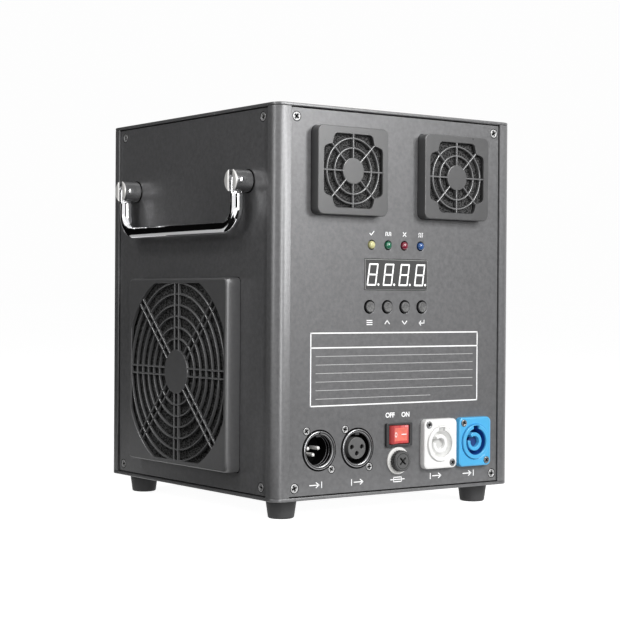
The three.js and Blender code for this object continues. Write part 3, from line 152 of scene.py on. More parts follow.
def plate(outline, low_z, high_z, bevel=0.0, holes=(), low_bevel=None):
    """A flat plate with holes. The bevel softens its edges."""
    low_bevel = bevel if low_bevel is None else low_bevel
    loops = [outline if area(outline) > 0 else outline[::-1]]
    loops += [h if area(h) < 0 else h[::-1] for h in holes]
    points, faces, caps = [], [], {"low": [], "high": []}
    for loop in loops:
        n = len(loop)
        rows = [(inset(loop, low_bevel), low_z)]
        if low_bevel:
            rows.append((loop, low_z + low_bevel))
        if bevel:
            soft = inset(loop, bevel * 0.3)
            rows += [(loop, high_z - bevel), (soft, high_z - bevel * 0.3)]
        rows.append((inset(loop, bevel), high_z))
        base = len(points)
        for row, z in rows:
            points += lift(row, z)
        for j in range(len(rows) - 1):
            for i in range(n):
                k = (i + 1) % n
                a = base + j * n
                faces.append((a + i, a + k, a + n + k, a + n + i))
        caps["low"].append((base, rows[0][0]))
        caps["high"].append((base + (len(rows) - 1) * n, rows[-1][0]))
    for end, parts in caps.items():
        index = [start + i for start, loop in parts for i in range(len(loop))]
        flat = [[Vector((x, y, 0)) for x, y in loop] for _, loop in parts]
        for tri in geometry.tessellate_polygon(flat):
            tri = [index[i] for i in tri]
            faces.append(tuple(tri if end == "high" else tri[::-1]))
    return points, faces


def lathe(profile, count=48, closed=False):
    """Turns [radius, height] points about the upright axis. Zero radius makes a pole."""
    points, faces, rows = [], [], []
    for r, z in profile:
        if r < 1e-6:
            rows.append([len(points)])
            points.append((0, 0, z))
        else:
            rows.append([len(points) + k for k in range(count)])
            points += [(x, y, z) for x, y in circle(r, count)]
    pairs = list(zip(rows, rows[1:])) + ([(rows[-1], rows[0])] if closed else [])
    for a, b in pairs:
        for i in range(count):
            k = (i + 1) % count
            quad = (a[i % len(a)], a[k % len(a)], b[k % len(b)], b[i % len(b)])
            faces.append(tuple(dict.fromkeys(quad)))
    return points, [f for f in faces if len(f) > 2]


def box(x0, x1, y0, y1, z0, z1, bevel=0.0):
    outline = [(x0, y0), (x1, y0), (x1, y1), (x0, y1)]
    return plate(outline, z0, z1, bevel)


def tube(path, radius, count):
    """A rod with round ends along points in a plane z = constant. A fourth number flattens it."""
    thin = [p[3] if len(p) > 3 else 1 for p in path]
    rows, path = [], [Vector(p[:3]) for p in path]
    across = Vector((0, 0, 1))
    for i, p in enumerate(path):
        into = (p - path[i - 1]) if i else (path[1] - p)
        out = (path[i + 1] - p) if i + 1 < len(path) else into
        along = (into.normalized() + out.normalized()).normalized()
        rows.append((p, along, thin[i]))
    ends = [(math.sin(a), math.cos(a)) for a in [math.pi / 2 * k / 6 for k in range(1, 6)]]
    p, d, f = rows[0]
    full = [(p - d * radius * back, d, size, f) for back, size in reversed(ends)]
    full += [(p, d, 1, f) for p, d, f in rows]
    p, d, f = rows[-1]
    full += [(p + d * radius * back, d, size, f) for back, size in ends]
    loops = []
    for p, d, size, f in full:
        up = d.cross(across) * f
        spokes = [across * x + up * y for x, y in circle(1, count)]
        loops.append([tuple(p + spoke * radius * size) for spoke in spokes])
    return skin(loops)


def move(shape, matrix):
    return [tuple(matrix @ Vector(p)) for p in shape[0]], shape[1]


def shift(shape, x=0, y=0, z=0):
    return move(shape, Matrix.Translation((x, y, z)))


def turn(shape, degrees, axis="Z"):
    return move(shape, Matrix.Rotation(math.radians(degrees), 4, axis))


def knurled(radius, dip, count, period):
    """A circle with grooves: the second half of each period lies deeper."""
    loop = []
    for k in range(count):
        r = radius - (dip if k % period >= period / 2 else 0)
        a = 2 * math.pi * k / count
        loop.append((r * math.cos(a), r * math.sin(a)))
    return loop


def shown(name, data):
    """Puts a mesh, lamp, camera or text into the scene."""
    obj = bpy.data.objects.new(name, data)
    bpy.context.scene.collection.objects.link(obj)
    return obj


def piece(name, parts, place, body, nodes=(), angle=35):
    """Makes one object of (shape, material) parts, placed by a matrix, riding on a body."""
    points, faces, marks, used = [], [], [], []
    for shape, look in parts:
        base = len(points)
        points += shape[0]
        if look not in used:
            used.append(look)
        for face in shape[1]:
            faces.append([i + base for i in face])
            marks.append(used.index(look))
    mesh = bpy.data.meshes.new(name)
    mesh.from_pydata(points, [], faces)
    for look in used:
        mesh.materials.append(look)
    mesh.polygons.foreach_set("material_index", marks)
    mesh.validate()
    # Faces flat across the piece's own axis stay flat, the others are shaded smooth
    caps = [abs(face.normal.z) > 0.9999 for face in mesh.polygons]
    mesh.transform(place)
    mesh.set_sharp_from_angle(angle=math.radians(angle))
    mesh.polygons.foreach_set("use_smooth", [not cap for cap in caps])
    obj = shown(name, mesh)
    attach(obj, body)
    if nodes:
        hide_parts(*nodes)
    return obj


# Materials
def node_of(tree, kind, **values):
    node = tree.nodes.new(kind)
    for key, value in values.items():
        if key in node.inputs:
            node.inputs[key].default_value = value
        else:
            setattr(node, key, value)
    return node


def material(name, color, roughness, metallic=0.0, vary=0.06, vary_scale=60.0, grain=0.0,
             grain_scale=1500.0, rough_vary=0.05, coat=0.0, emission=0.0, ior=1.45,
             stretch=(1, 1, 1), detail=3.0, spread=0.2):
    """A principled surface with noise in its colour, roughness and bump."""
    mat = bpy.data.materials.new(name)
    mat.use_nodes = True
    tree = mat.node_tree
    shader = tree.nodes["Principled BSDF"]
    shader.inputs["Metallic"].default_value = metallic
    shader.inputs["IOR"].default_value = ior
    shader.inputs["Coat Weight"].default_value = coat
    shader.inputs["Coat Roughness"].default_value = 0.1
    if emission:
        shader.inputs["Emission Color"].default_value = (*color, 1)
        shader.inputs["Emission Strength"].default_value = emission
    where = node_of(tree, "ShaderNodeTexCoord")
    mapping = node_of(tree, "ShaderNodeMapping", Scale=stretch)
    tree.links.new(where.outputs["Object"], mapping.inputs["Vector"])
    broad = node_of(tree, "ShaderNodeTexNoise", Scale=vary_scale, Detail=detail)
    tree.links.new(mapping.outputs["Vector"], broad.inputs["Vector"])
    ramp = node_of(tree, "ShaderNodeValToRGB")
    darker = [c * (1 - vary) for c in color]
    lighter = [min(c * (1 + vary), 1) for c in color]
    ramp.color_ramp.elements[0].position = 0.5 - spread
    ramp.color_ramp.elements[0].color = (*darker, 1)
    ramp.color_ramp.elements[1].position = 0.5 + spread
    ramp.color_ramp.elements[1].color = (*lighter, 1)
    tree.links.new(broad.outputs["Fac"], ramp.inputs["Fac"])
    tree.links.new(ramp.outputs["Color"], shader.inputs["Base Color"])
    span = node_of(tree, "ShaderNodeMapRange")
    span.inputs["To Min"].default_value = max(roughness - rough_vary, 0.02)
    span.inputs["To Max"].default_value = min(roughness + rough_vary, 1)
    tree.links.new(broad.outputs["Fac"], span.inputs["Value"])
    tree.links.new(span.outputs["Result"], shader.inputs["Roughness"])
    if grain:
        fine = node_of(tree, "ShaderNodeTexNoise", Scale=grain_scale, Detail=2.0)
        tree.links.new(mapping.outputs["Vector"], fine.inputs["Vector"])
        bump = node_of(tree, "ShaderNodeBump", Strength=grain, Distance=0.0003)
        tree.links.new(fine.outputs["Fac"], bump.inputs["Height"])
        tree.links.new(bump.outputs["Normal"], shader.inputs["Normal"])
    return mat


coat = material("powder_coat", (0.142, 0.142, 0.145), 0.34, metallic=0.28, vary=0.11,
                vary_scale=420, ior=1.6, grain=0.2, grain_scale=1000)
cover_coat = material("cover_coat", (0.07, 0.07, 0.071), 0.3, vary=0.03, vary_scale=300, ior=1.72)
side_coat = material("side_cover_coat", (0.132, 0.132, 0.134), 0.33, metallic=0.24, vary=0.05,
                     vary_scale=400, ior=1.62)
# A lighter plastic for the ribs than the exhaust covers' own: painted highlight
rib_highlight_coat = material("rib_highlight_coat", (0.125, 0.125, 0.127), 0.24, vary=0.04, vary_scale=500, ior=1.8)
chrome = material("chrome", (0.86, 0.86, 0.87), 0.06, metallic=1.0, vary=0.01, rough_vary=0.02)
nickel = material("nickel", (0.72, 0.71, 0.68), 0.2, metallic=1.0, vary=0.05)
satin = material("satin_chrome", (0.52, 0.52, 0.525), 0.22, metallic=0.95, vary=0.05, grain=0.03)
zinc = material("screw_zinc", (0.42, 0.42, 0.42), 0.45, metallic=0.7, vary=0.08)
# A near-white, mostly diffuse nickel: painted highlight on the pins, the fuse collar and the fork
# ends
highlight_nickel = material("nickel_painted_highlight", (0.84, 0.83, 0.81), 0.35, metallic=0.18, vary=0.04)
dark_metal = material("dark_metal", (0.05, 0.05, 0.052), 0.32, metallic=0.5, vary=0.05)
# Grey metal for screw heads, and bright rings of painted highlight on the data sockets' rims
grey_metal_and_highlight = material("grey_metal_and_painted_highlight", (0.3, 0.3, 0.305), 0.3, metallic=0.8, vary=0.05)
steel = material("steel", (0.5, 0.5, 0.51), 0.3, metallic=1.0, vary=0.08, stretch=(1, 1, 12),
                 grain=0.05)
copper = material("copper", (0.55, 0.25, 0.12), 0.35, metallic=1.0, stretch=(1, 1, 20), vary=0.3)
rubber = material("rubber", (0.034, 0.034, 0.035), 0.6, vary=0.15, grain=0.15, grain_scale=900)
foam = material("foam", (0.044, 0.044, 0.044), 0.95, vary=0.75, vary_scale=1150, grain=0.9,
                grain_scale=900, detail=0.0, ior=1.15, spread=0.12)
side_foam = material("side_foam", (0.05, 0.05, 0.05), 0.95, vary=0.75, vary_scale=1150, grain=0.9,
                     grain_scale=900, detail=0.0, ior=1.15, spread=0.12)
black = material("black_plastic", (0.034, 0.034, 0.035), 0.42, vary=0.1, grain=0.08)
dark = material("dark_plastic", (0.08, 0.08, 0.08), 0.5, vary=0.1, grain=0.08)
body_dark = material("socket_plug", (0.115, 0.115, 0.115), 0.45, vary=0.1, grain=0.08)
card_grey = material("card_grey", (0.7, 0.7, 0.7), 0.8, vary=0.01, emission=0.22)
body_grey = material("display_body", (0.36, 0.36, 0.355), 0.45, vary=0.05)
window = material("display_window", (0.04, 0.04, 0.04), 0.55, vary=0.04)
glow = material("segment", (0.9, 0.9, 0.89), 0.4, vary=0.01, emission=0.4)
# A lighter grey for the keys' tops than their black sides: painted light
key_top = material("key_top", (0.125, 0.125, 0.124), 0.4, vary=0.55, vary_scale=1300, grain=0.15)
white = material("white_plastic", (0.83, 0.83, 0.82), 0.35, vary=0.015, coat=0.2)
# A white that glows a little: painted light that lifts the shade in the white socket's recess
glowing_socket_white = material("socket_white_painted_glow", (0.9, 0.9, 0.89), 0.4, vary=0.02, emission=0.14)
blue = material("blue_plastic", (0.08, 0.42, 0.74), 0.35, vary=0.03, coat=0.2)
# A darker copy of the blue for the blue socket's recess: painted shade
shaded_blue = material("shaded_blue", (0.013, 0.08, 0.35), 0.4, vary=0.05)
# Cores darker than their sockets' plastic: painted shade deep in the hole
pale_core = material("outlet_core", (0.56, 0.56, 0.55), 0.45, vary=0.03)
blue_core = material("inlet_core", (0.006, 0.035, 0.15), 0.5, vary=0.05)
# The rocker's red glows a little, and a lighter, glowing red covers its face: painted light
red = material("rocker_red", (0.55, 0.066, 0.066), 0.32, vary=0.08, coat=0.1, emission=0.05)
red_painted_glow = material("rocker_painted_glow", (0.72, 0.165, 0.125), 0.32, vary=0.15, vary_scale=300, coat=0.1,
                   emission=0.12)
cream = material("lamp_cream", (0.6, 0.575, 0.275), 0.08, vary=0.02, coat=0.8)
green = material("lamp_green", (0.008, 0.135, 0.067), 0.08, vary=0.02, coat=0.8)
crimson = material("lamp_red", (0.21, 0.011, 0.032), 0.08, vary=0.02, coat=0.8)
azure = material("lamp_blue", (0.011, 0.073, 0.25), 0.08, vary=0.02, coat=0.8)
# White print that glows a little: painted light
glowing_ink = material("white_ink_painted_glow", (0.88, 0.88, 0.88), 0.5, vary=0.02, emission=0.12)
faint_ink = material("faint_ink", (0.52, 0.52, 0.52), 0.6, vary=0.05)
board = material("solder_mask", (0.02, 0.12, 0.05), 0.4, vary=0.1)
# Near-black without sheen: painted shade in seams, gaps, recesses and hole floors, and the stage's
# dark cards
shade_black = material("shade_black", (0.006, 0.006, 0.006), 0.8, ior=1.05)
sheet = material("aluminium", (0.6, 0.6, 0.61), 0.35, metallic=1.0, grain=0.05)


# Screws: a cross recess in a low countersunk head, near-black painted shade at the recess floor and
# round the head
def cross(arm, width):
    a, b = arm / 2, width / 2
    return [(b, -a), (b, -b), (a, -b), (a, b), (b, b), (b, a),
            (-b, a), (-b, b), (-a, b), (-a, -b), (-b, -b), (-b, -a)]


def screw(radius, proud, look, angle=20, ringed=True):
    head = plate(circle(radius, 32), -1.4, proud, 0.3, [cross(radius * 1.3, radius * 0.4)])
    # Painted shade: a near-black disc at the floor of the cross recess
    parts = [(turn(head, angle), look), (plate(circle(radius * 0.7, 16), -1.5, -1.15), shade_black)]
    if ringed:
        # Painted shade: a near-black ring round the head, where the countersink's gap lies
        shade_seam = plate(circle(radius + 0.35, 40), -0.6, 0.03, 0, [circle(radius - 0.4, 40)])
        parts.append((shade_seam, shade_black))
    return parts


def shifted(parts, x=0, y=0, z=0):
    return [(shift(shape, x, y, z), look) for shape, look in parts]


# Case
inner = POCKET + POST_WALL
post = [(CORNER, 0), (POST_FACE - 0.35, 0), (POST_FACE, 0.35), (POST_FACE, POCKET),
        (POST_FLANGE, POCKET), (POST_FLANGE, inner), (inner, inner)]
post += [(y, x) for x, y in post[-2::-1]]
for k in range(1, 12):
    a = math.pi + math.pi / 2 * k / 12
    post.append((CORNER + CORNER * math.cos(a), CORNER + CORNER * math.sin(a)))
corners = {"control_left": (-1, -1), "control_right": (1, -1),
           "front_left": (-1, 1), "front_right": (1, 1)}
for name, (sx, sy) in corners.items():
    outline = [(sx * (WIDTH / 2 - x), sy * (DEPTH / 2 - y)) for x, y in post]
    shape = plate(outline, PLATE + SEAT, HEIGHT - PLATE - SEAT, 0.12)
    piece("post_" + name, [(shape, coat)], upright(), "housing", ["corner_post_" + name])
    foot = [(0, -0.05), (9.6, -0.05), (9.55, -1), (8.2, -10.4)]
    foot += [(6.8 + 1.4 * math.cos(a), -10.6 - 1.4 * math.sin(a)) for a in (0.3, 0.7, 1.1, 1.57)]
    foot += [(4.6, -12), (4.2, -11.6), (4.2, -8), (0, -8)]
    head = shifted(screw(3.6, 0.8, nickel, ringed=False), 0, 0, 8)
    parts = [(lathe(foot, 56), rubber)]
    parts += [(turn(shape, 180, "X"), look) for shape, look in head]
    place = upright(sx * (WIDTH / 2 - FOOT_INSET[0]), sy * (DEPTH / 2 - FOOT_INSET[1]))
    piece("rubber_foot_" + name, parts, place, "housing", ["foot_" + name])

footprint = rounded(WIDTH, DEPTH, CORNER, steps=12)
piece("floor_plate", [(plate(footprint, 0, PLATE, 0.3), coat)], upright(), "housing",
      ["bottom_plate"])

mouth = [(-27, 37), (27, 37), (27, 77), (-27, 77)]
top_holes = [mouth, circle(HOLES["nozzle"], 64)]
top_parts = [(plate(footprint, HEIGHT - PLATE, HEIGHT, 0.5, top_holes), coat)]
LID_AXIS_Z = HEIGHT + LID_AXIS_RISE
sideways = Matrix.Rotation(math.pi / 2, 4, "Y")


def along_x(profile, x, y, z, count=32):
    return shift(move(lathe(profile, count), sideways), x, y, z)


for way in (-1, 1):
    ear = [(0, 0), (2.35, 0), (2.6, 0.25), (2.6, 4.75), (2.35, 5), (0, 5)]
    x = way * 16.8 - 2.5
    top_parts.append((along_x(ear, x, LID_AXIS_Y, LID_AXIS_Z), coat))
    web = box(x, x + 5, LID_AXIS_Y - 2.6, LID_AXIS_Y + 2.6, HEIGHT, LID_AXIS_Z, 0.1)
    top_parts.append((web, coat))
pin = [(0, -17), (1.2, -17), (1.2, 17), (0, 17)]
top_parts.append((along_x(pin, 0, LID_AXIS_Y, LID_AXIS_Z), steel))
piece("roof_plate", top_parts, upright(), "housing", ["top_plate"])


def panel(name, side_name, width, face, node, screw_u, holes=()):
    """A side panel with countersunk screws in its corners and a strip of painted shadow above and
    below.
    """
    across, tall, shade_seam = width - 2 * (POST_FACE + GAP), HEIGHT - 2 * (PLATE + GAP), 0.35
    spots = [(s * screw_u, v) for s in (-1, 1) for v in PANEL_SCREW_V]
    cuts = list(holes) + [circle(2.95, 32, u, v) for u, v in spots]
    sheet_shape = plate(rounded(across, tall, 0.3, 0, HEIGHT / 2, 2), -PANEL, 0, 0.25, cuts)
    parts = [(sheet_shape, coat)]
    # Painted shadow: near-black strips along the panel's top and bottom edges
    for v in (PLATE + GAP, HEIGHT - PLATE - GAP - shade_seam):
        parts.append((box(-across / 2, across / 2, v, v + shade_seam, -0.5, 0.015), shade_black))
    for k, (u, v) in enumerate(spots):
        parts += shifted(screw(2.8, 0.12, zinc, 20 + 31 * k), u, v)
    piece(name, parts, on_side(side_name, 0, 0, face), "housing", [node])


panel("right_skin", "right", DEPTH, SIDE, "right_panel", SIDE_SCREW_U)
panel("front_skin", "front", WIDTH, CONTROL, "front_panel", END_SCREW_U)
panel("left_skin", "left", DEPTH, SIDE, "left_panel", SIDE_SCREW_U,
      [circle(HOLES["intake"], 64, 0, INTAKE_V)])
cuts = [circle(HOLES["fan"], 48, s * EXHAUST_U, EXHAUST_V) for s in (-1, 1)]
cuts += [circle(HOLES["socket"], 64, s * u, SOCKET_V)
         for s in (-1, 1) for u in (SOCKET_IN, SOCKET_OUT)]
cuts += [circle(HOLES["lamp"], 32, u, LAMP_V) for u in LAMP_U]
cuts += [circle(HOLES["button"], 40, u, BUTTON_V) for u in BUTTON_U]
cuts += [rounded(50.9, 19.6, 0.5, CONTROLS_U, DISPLAY_V, 3),
         rounded(19.2, 14.4, 0.5, 0, SWITCH_V, 2), circle(HOLES["fuse"], 32, 0, FUSE_V)]
data_screws = [(u + s * DATA_SCREW[0], SOCKET_V - s * DATA_SCREW[1])
               for u in (-SOCKET_OUT, -SOCKET_IN) for s in (-1, 1)]
cuts += [circle(HOLES["data_screw"], 24, u, v) for u, v in data_screws]
panel("control_skin", "control", WIDTH, CONTROL, "control_panel", END_SCREW_U, cuts)


# Fan covers
COVER_WALL, COVER_FACE, COVER_RAYS = 2.0, 2.2, 240


def radial(loop, count):
    """Where rays from the middle cross a loop, one for each of as many angles."""
    out = []
    for k in range(count):
        a = 2 * math.pi * k / count
        d = Vector((math.cos(a), math.sin(a)))
        best = 0
        for p, q in zip(loop, loop[1:] + loop[:1]):
            e = Vector(q) - Vector(p)
            cross_value = d.x * e.y - d.y * e.x
            if abs(cross_value) < 1e-9:
                continue
            t = (p[0] * e.y - p[1] * e.x) / cross_value
            s = (p[0] * d.y - p[1] * d.x) / cross_value
            if t > 0 and -1e-6 <= s <= 1 + 1e-6:
                best = max(best, t)
        out.append((d.x * best, d.y * best))
    return out


def bend(a, b, c, steps):
    """Points on a quadratic curve from a to c that leans towards b."""
    pairs = [(i / steps, 1 - i / steps) for i in range(steps + 1)]
    return [tuple(Vector(a) * s * s + Vector(b) * 2 * t * s + Vector(c) * t * t) for t, s in pairs]


def quarters(points):
    """Repeats a quarter of an outline four times round the middle."""
    out = []
    for k in range(4):
        m = Matrix.Rotation(math.pi / 2 * k, 2)
        out += [tuple(m @ Vector(p)) for p in points]
    return out


# Openings: rounded shoulders in the exhausts' corners, a circle cut by a square in the intake
shoulder = bend((22.6, 12.2), (22.5, 14.0), (20.9, 14.8), 5)
shoulder += [(18.8, 15.5), (17.2, 15.85), (16.15, 16.15)]
exhaust_opening = quarters(shoulder + [(y, x) for x, y in shoulder[-2::-1]])
OPEN_HALF, OPEN_RADIUS = 57, 63.4
start = math.acos(OPEN_HALF / OPEN_RADIUS)
arc = [start + (math.pi / 2 - 2 * start) * k / 12 for k in range(13)]
intake_opening = quarters([(OPEN_RADIUS * math.cos(a), OPEN_RADIUS * math.sin(a)) for a in arc])


def cover(spec):
    """The frame of a cover: outer wall, rounded front edge, opening, inner wall."""
    side_len, corner, depth, opening = spec["side"], spec["corner"], spec["depth"], spec["opening"]
    fillet, drop = spec["fillet"], spec["drop"]
    outer = rounded(side_len, side_len, corner, steps=10)
    rows = [(outer, SEAT)]
    for k in range(7):
        a = math.pi / 2 * k / 6
        rows.append((inset(outer, fillet * (1 - math.cos(a))), depth - drop + drop * math.sin(a)))
    hole = opening[::-1]
    back, inner_len = depth - COVER_FACE, side_len - 2 * COVER_WALL
    rows += [(inset(hole, 0.25)[::-1], depth), (opening, depth - 0.3), (opening, back)]
    inner = rounded(inner_len, inner_len, max(corner - COVER_WALL, 0.5), steps=6)
    rows += [(inner, back), (inner, SEAT)]
    return skin([lift(radial(loop, COVER_RAYS), z) for loop, z in rows], ring=True)


def rib_section(width, low_z, high_z):
    """A rib's outline across it, crowned so that it catches a line of light."""
    h, crown, edge = width / 2, 0.34, 0.06
    points = [(-h, low_z), (h, low_z)]
    for k in range(7):
        a = math.pi * (edge + (1 - 2 * edge) * k / 6)
        x, z = h * math.cos(a) / math.cos(math.pi * edge), high_z - crown + crown * math.sin(a)
        points.append((x, z))
    return points


def rib_ring(radius, width, low_z, high_z):
    section = [(radius + x, z) for x, z in rib_section(width, low_z, high_z)]
    return lathe(section, 96, closed=True)


def rib_bar(near, far, offset, width, low_z, high_z, degrees):
    section = rib_section(width, low_z, high_z)
    loops = [[(x, offset + y, z) for y, z in section] for x in (near, far)]
    return turn(skin(loops), degrees)


def hub(radius, low_z, high_z):
    return lathe([(0, low_z), (radius, low_z), (radius, high_z - 0.4),
                  (radius - 0.15, high_z - 0.12), (radius - 0.5, high_z), (0, high_z)], 72)


def foam_pad(side_len, top):
    """A foam sheet whose face is broken up like open cells."""
    pitch, wave, relief, sink = 1.1, 1.7, 0.5, 0.3
    n = int(side_len / pitch)
    step = side_len / n
    rows = []
    for j in range(n + 1):
        row = []
        for i in range(n + 1):
            x, y = i * step - side_len / 2, j * step - side_len / 2
            edge = i in (0, n) or j in (0, n)
            rough = 0 if edge else relief * noise.noise((x * wave, y * wave, 0)) - sink
            row.append((x, y, top + rough))
        rows.append(row)
    points = [p for row in rows for p in row]
    faces = []
    for j in range(n):
        for i in range(n):
            a = j * (n + 1) + i
            faces.append((a, a + 1, a + n + 2, a + n + 1))
    rim = list(range(n + 1)) + [j * (n + 1) + n for j in range(1, n + 1)]
    rim += [n * (n + 1) + i for i in range(n - 1, -1, -1)]
    rim += [j * (n + 1) for j in range(n - 1, 0, -1)]
    base = len(points)
    points += [(points[i][0], points[i][1], SEAT) for i in rim]
    for k in range(len(rim)):
        m = (k + 1) % len(rim)
        faces.append((rim[k], base + k, base + m, rim[m]))
    faces.append(tuple(base + k for k in reversed(range(len(rim)))))
    return points, faces


def vent_cover(name, u, v, spec, node, pad_name, pad_node):
    """A fan cover on the panel, and the foam behind it."""
    depth, rib, side_len, corner = spec["depth"], spec["rib"], spec["side"], spec["corner"]
    low_z, high_z = depth - COVER_FACE, depth - spec["sunk"]
    ring_z, bar_z = high_z - 0.16, high_z - 0.04
    place = on_side(spec["on"], u, v, spec["face"])
    # Painted shadow: a near-black ring round the cover's foot on the panel
    shade_seam = plate(rounded(side_len + 0.5, side_len + 0.5, corner + 0.25, steps=8), 0.012, 0.05, 0,
                 [rounded(side_len - 2, side_len - 2, corner - 1, steps=8)])
    parts = [(cover(spec), spec["look"]), (shade_seam, shade_black),
             (hub(spec["hub"], low_z, high_z), spec["look"])]
    # Painted highlight: the ribs take a lighter plastic than the exhaust covers
    for k in range(1, spec["rings"] + 1):
        parts.append((rib_ring(spec["hub"] + k * spec["pitch"], rib, low_z, ring_z), rib_highlight_coat))
    for k in range(8):
        for offset in spec["spokes"]:
            bar = rib_bar(spec["hub"] - 1, spec["reach"][k % 2], offset, rib, low_z, bar_z, 45 * k)
            parts.append((bar, rib_highlight_coat))
    piece(name, parts, place, "housing", [node])
    pad = foam_pad(side_len - 5.2, depth - 2.8)
    piece(pad_name, [(pad, spec["pad"])], place, "housing", [pad_node], 180)


EXHAUST = {"on": "control", "face": CONTROL, "look": cover_coat, "pad": foam,
           "side": 54, "corner": 4, "depth": 7.3, "opening": exhaust_opening, "fillet": 0.5,
           "drop": 0.6, "hub": 8.2, "rings": 2, "pitch": 5.9, "rib": 1.0, "spokes": [0],
           "reach": (23.4, 24), "sunk": 0.3}
INTAKE = {"on": "left", "face": SIDE, "look": side_coat, "pad": side_foam,
          "side": 121, "corner": 3, "depth": 9.9, "opening": intake_opening, "fillet": 1.5,
          "drop": 5.2, "hub": 14.2, "rings": 6, "pitch": 7.2, "rib": 1.15, "spokes": [-2.5, 2.5],
          "reach": (57.6, 64), "sunk": 0.3}
for tag, s in (("a", -1), ("b", 1)):
    vent_cover("exhaust_guard_" + tag, s * EXHAUST_U, EXHAUST_V, EXHAUST, "exhaust_cover_" + tag,
               "exhaust_foam_" + tag, "exhaust_filter_" + tag)
vent_cover("intake_guard", 0, INTAKE_V, INTAKE, "intake_cover", "intake_foam", "intake_filter")


# Handles: forked posts with a cross pin, and the bail that hangs from the pins
def prong(sign):
    """One side of a slotted post: a circle cut off at the slot."""
    radius, flat, steps = 7.0, 2.2, 18
    a = math.acos(flat / radius)
    angles = [-a + 2 * a * k / steps for k in range(steps + 1)]
    return [(sign * radius * math.cos(t), radius * math.sin(t)) for t in angles]


def pin_along_u(v, w):
    """A cross pin with rounded heads."""
    half = [(0, 7.3), (0.9, 7.25), (1.7, 7.05), (2.1, 6.75), (2.1, 6.2), (1.6, 6.2)]
    return along_x([(r, -z) for r, z in half] + half[::-1], 0, v, w, 32)


for side_name in ("left", "right"):
    for tag, s in (("near", -1), ("far", 1)):
        u = s * HANDLE_HALF if side_name == "right" else -s * HANDLE_HALF
        fork = [(plate(circle(7, 64), SEAT, 3.9), satin)]
        for sign in (-1, 1):
            fork.append((plate(prong(sign), 3.9, 12.35), satin))
            # Painted highlight: the prongs' ends take a near-white nickel
            fork.append((plate(prong(sign), 12.35, 13.2, 0.84, low_bevel=0.0), highlight_nickel))
        # Painted shadow: a near-black ring round the post's foot on the panel
        shade_seam = lathe([(6.9, SEAT), (7.4, SEAT), (7.4, 0.45), (6.9, 0.6)], 64, closed=True)
        fork += [(shade_seam, shade_black), (pin_along_u(0, PIN_REACH), chrome)]
        piece("handle_fork_%s_%s" % (side_name, tag), fork, on_side(side_name, u, HANDLE_V, SIDE),
              "housing", ["handle_post_%s_%s" % (side_name, tag)])
    flat_ends = ((0, 0.47), (7.5, 0.47), (7.85, 0.54), (8.15, 1))
    path = [(-HANDLE_HALF, -v, PIN_REACH, f) for v, f in flat_ends]
    for k in range(17):
        a = math.pi / 2 * k / 16
        x, y = BEND_U + BEND_R * math.cos(a), BEND_V + BEND_R * math.sin(a)
        path.append((-x, -y, PIN_REACH))
    path += [(-p[0], *p[1:]) for p in path[::-1]]
    place = on_side(side_name, 0, HANDLE_V, SIDE)
    piece("bail_" + side_name, [(tube(path, ROD, 40), chrome)], place, side_name + "_bail",
          ["handle_bail_" + side_name])


# Lamps, display, buttons
def arc_points(radius, first, last, steps):
    angles = [math.radians(first + (last - first) * k / steps) for k in range(steps + 1)]
    return [(radius * math.cos(a), radius * math.sin(a)) for a in angles]


for u, look, name in zip(LAMP_U, (cream, green, crimson, azure), ("cream", "green", "red", "blue")):
    dome = [(0, -6.2), (2.9, -6.2), (2.9, -5.2), (2.5, -5.2)]
    dome += [(r, z * 0.7) for r, z in arc_points(2.5, 0, 90, 12)]
    dome[-1] = (0, 1.75)
    legs = [(box(x - 0.3, x + 0.3, -0.3, 0.3, -7.3, -6.1), steel) for x in (-1.27, 1.27)]
    piece("lens_" + name, [(lathe(dome, 40), look)] + legs, on_control(u, LAMP_V),
          "housing", ["lamp_" + name])

SLANT, STROKE, DIGIT_PITCH = math.tan(math.radians(8)), 1.0, 12.7


def seven_segments(x, y):
    """One figure eight with its point, the lower left corner of the figure at (x, y)."""
    w, h, t, g = 7.4, 13.9, STROKE, 0.13  # width, height, stroke and gap
    m = h / 2
    flat = [(g, 0), (w - g, 0), (w - t - g, t), (t + g, t)]
    side = [(0, g), (t, t + g), (t, m - t / 2 - g), (t / 2, m - g), (0, m - g)]
    middle = [(t / 2 + g, m), (t + g, m - t / 2), (w - t - g, m - t / 2), (w - t / 2 - g, m),
              (w - t - g, m + t / 2), (t + g, m + t / 2)]
    outlines = [flat, [(px, h - py) for px, py in flat], middle]
    for flip_x in (False, True):
        for flip_y in (False, True):
            outlines.append([(w - px if flip_x else px, h - py if flip_y else py)
                             for px, py in side])
    shapes = [plate([(x + px + py * SLANT, y + py) for px, py in line], 0, 0.03)
              for line in outlines]
    shapes.append(plate(circle(0.75, 20, x + 9.3, y + 0.75), 0, 0.03))
    return shapes


display = [(plate(rounded(50.3, 19, 0.4, steps=3), -7.2, 0.5, 0.2), body_grey),
           (plate(rounded(49.7, 18.4, 0.3, steps=3), 0.3, 0.66, 0.05), window)]
for k in range(4):
    for shape in seven_segments(-24.1 + DIGIT_PITCH * k, -7.0):
        display.append((shift(shape, 0, 0, 0.665), glow))
piece("display", display, on_control(CONTROLS_U, DISPLAY_V), "housing",
      ["display_module"])

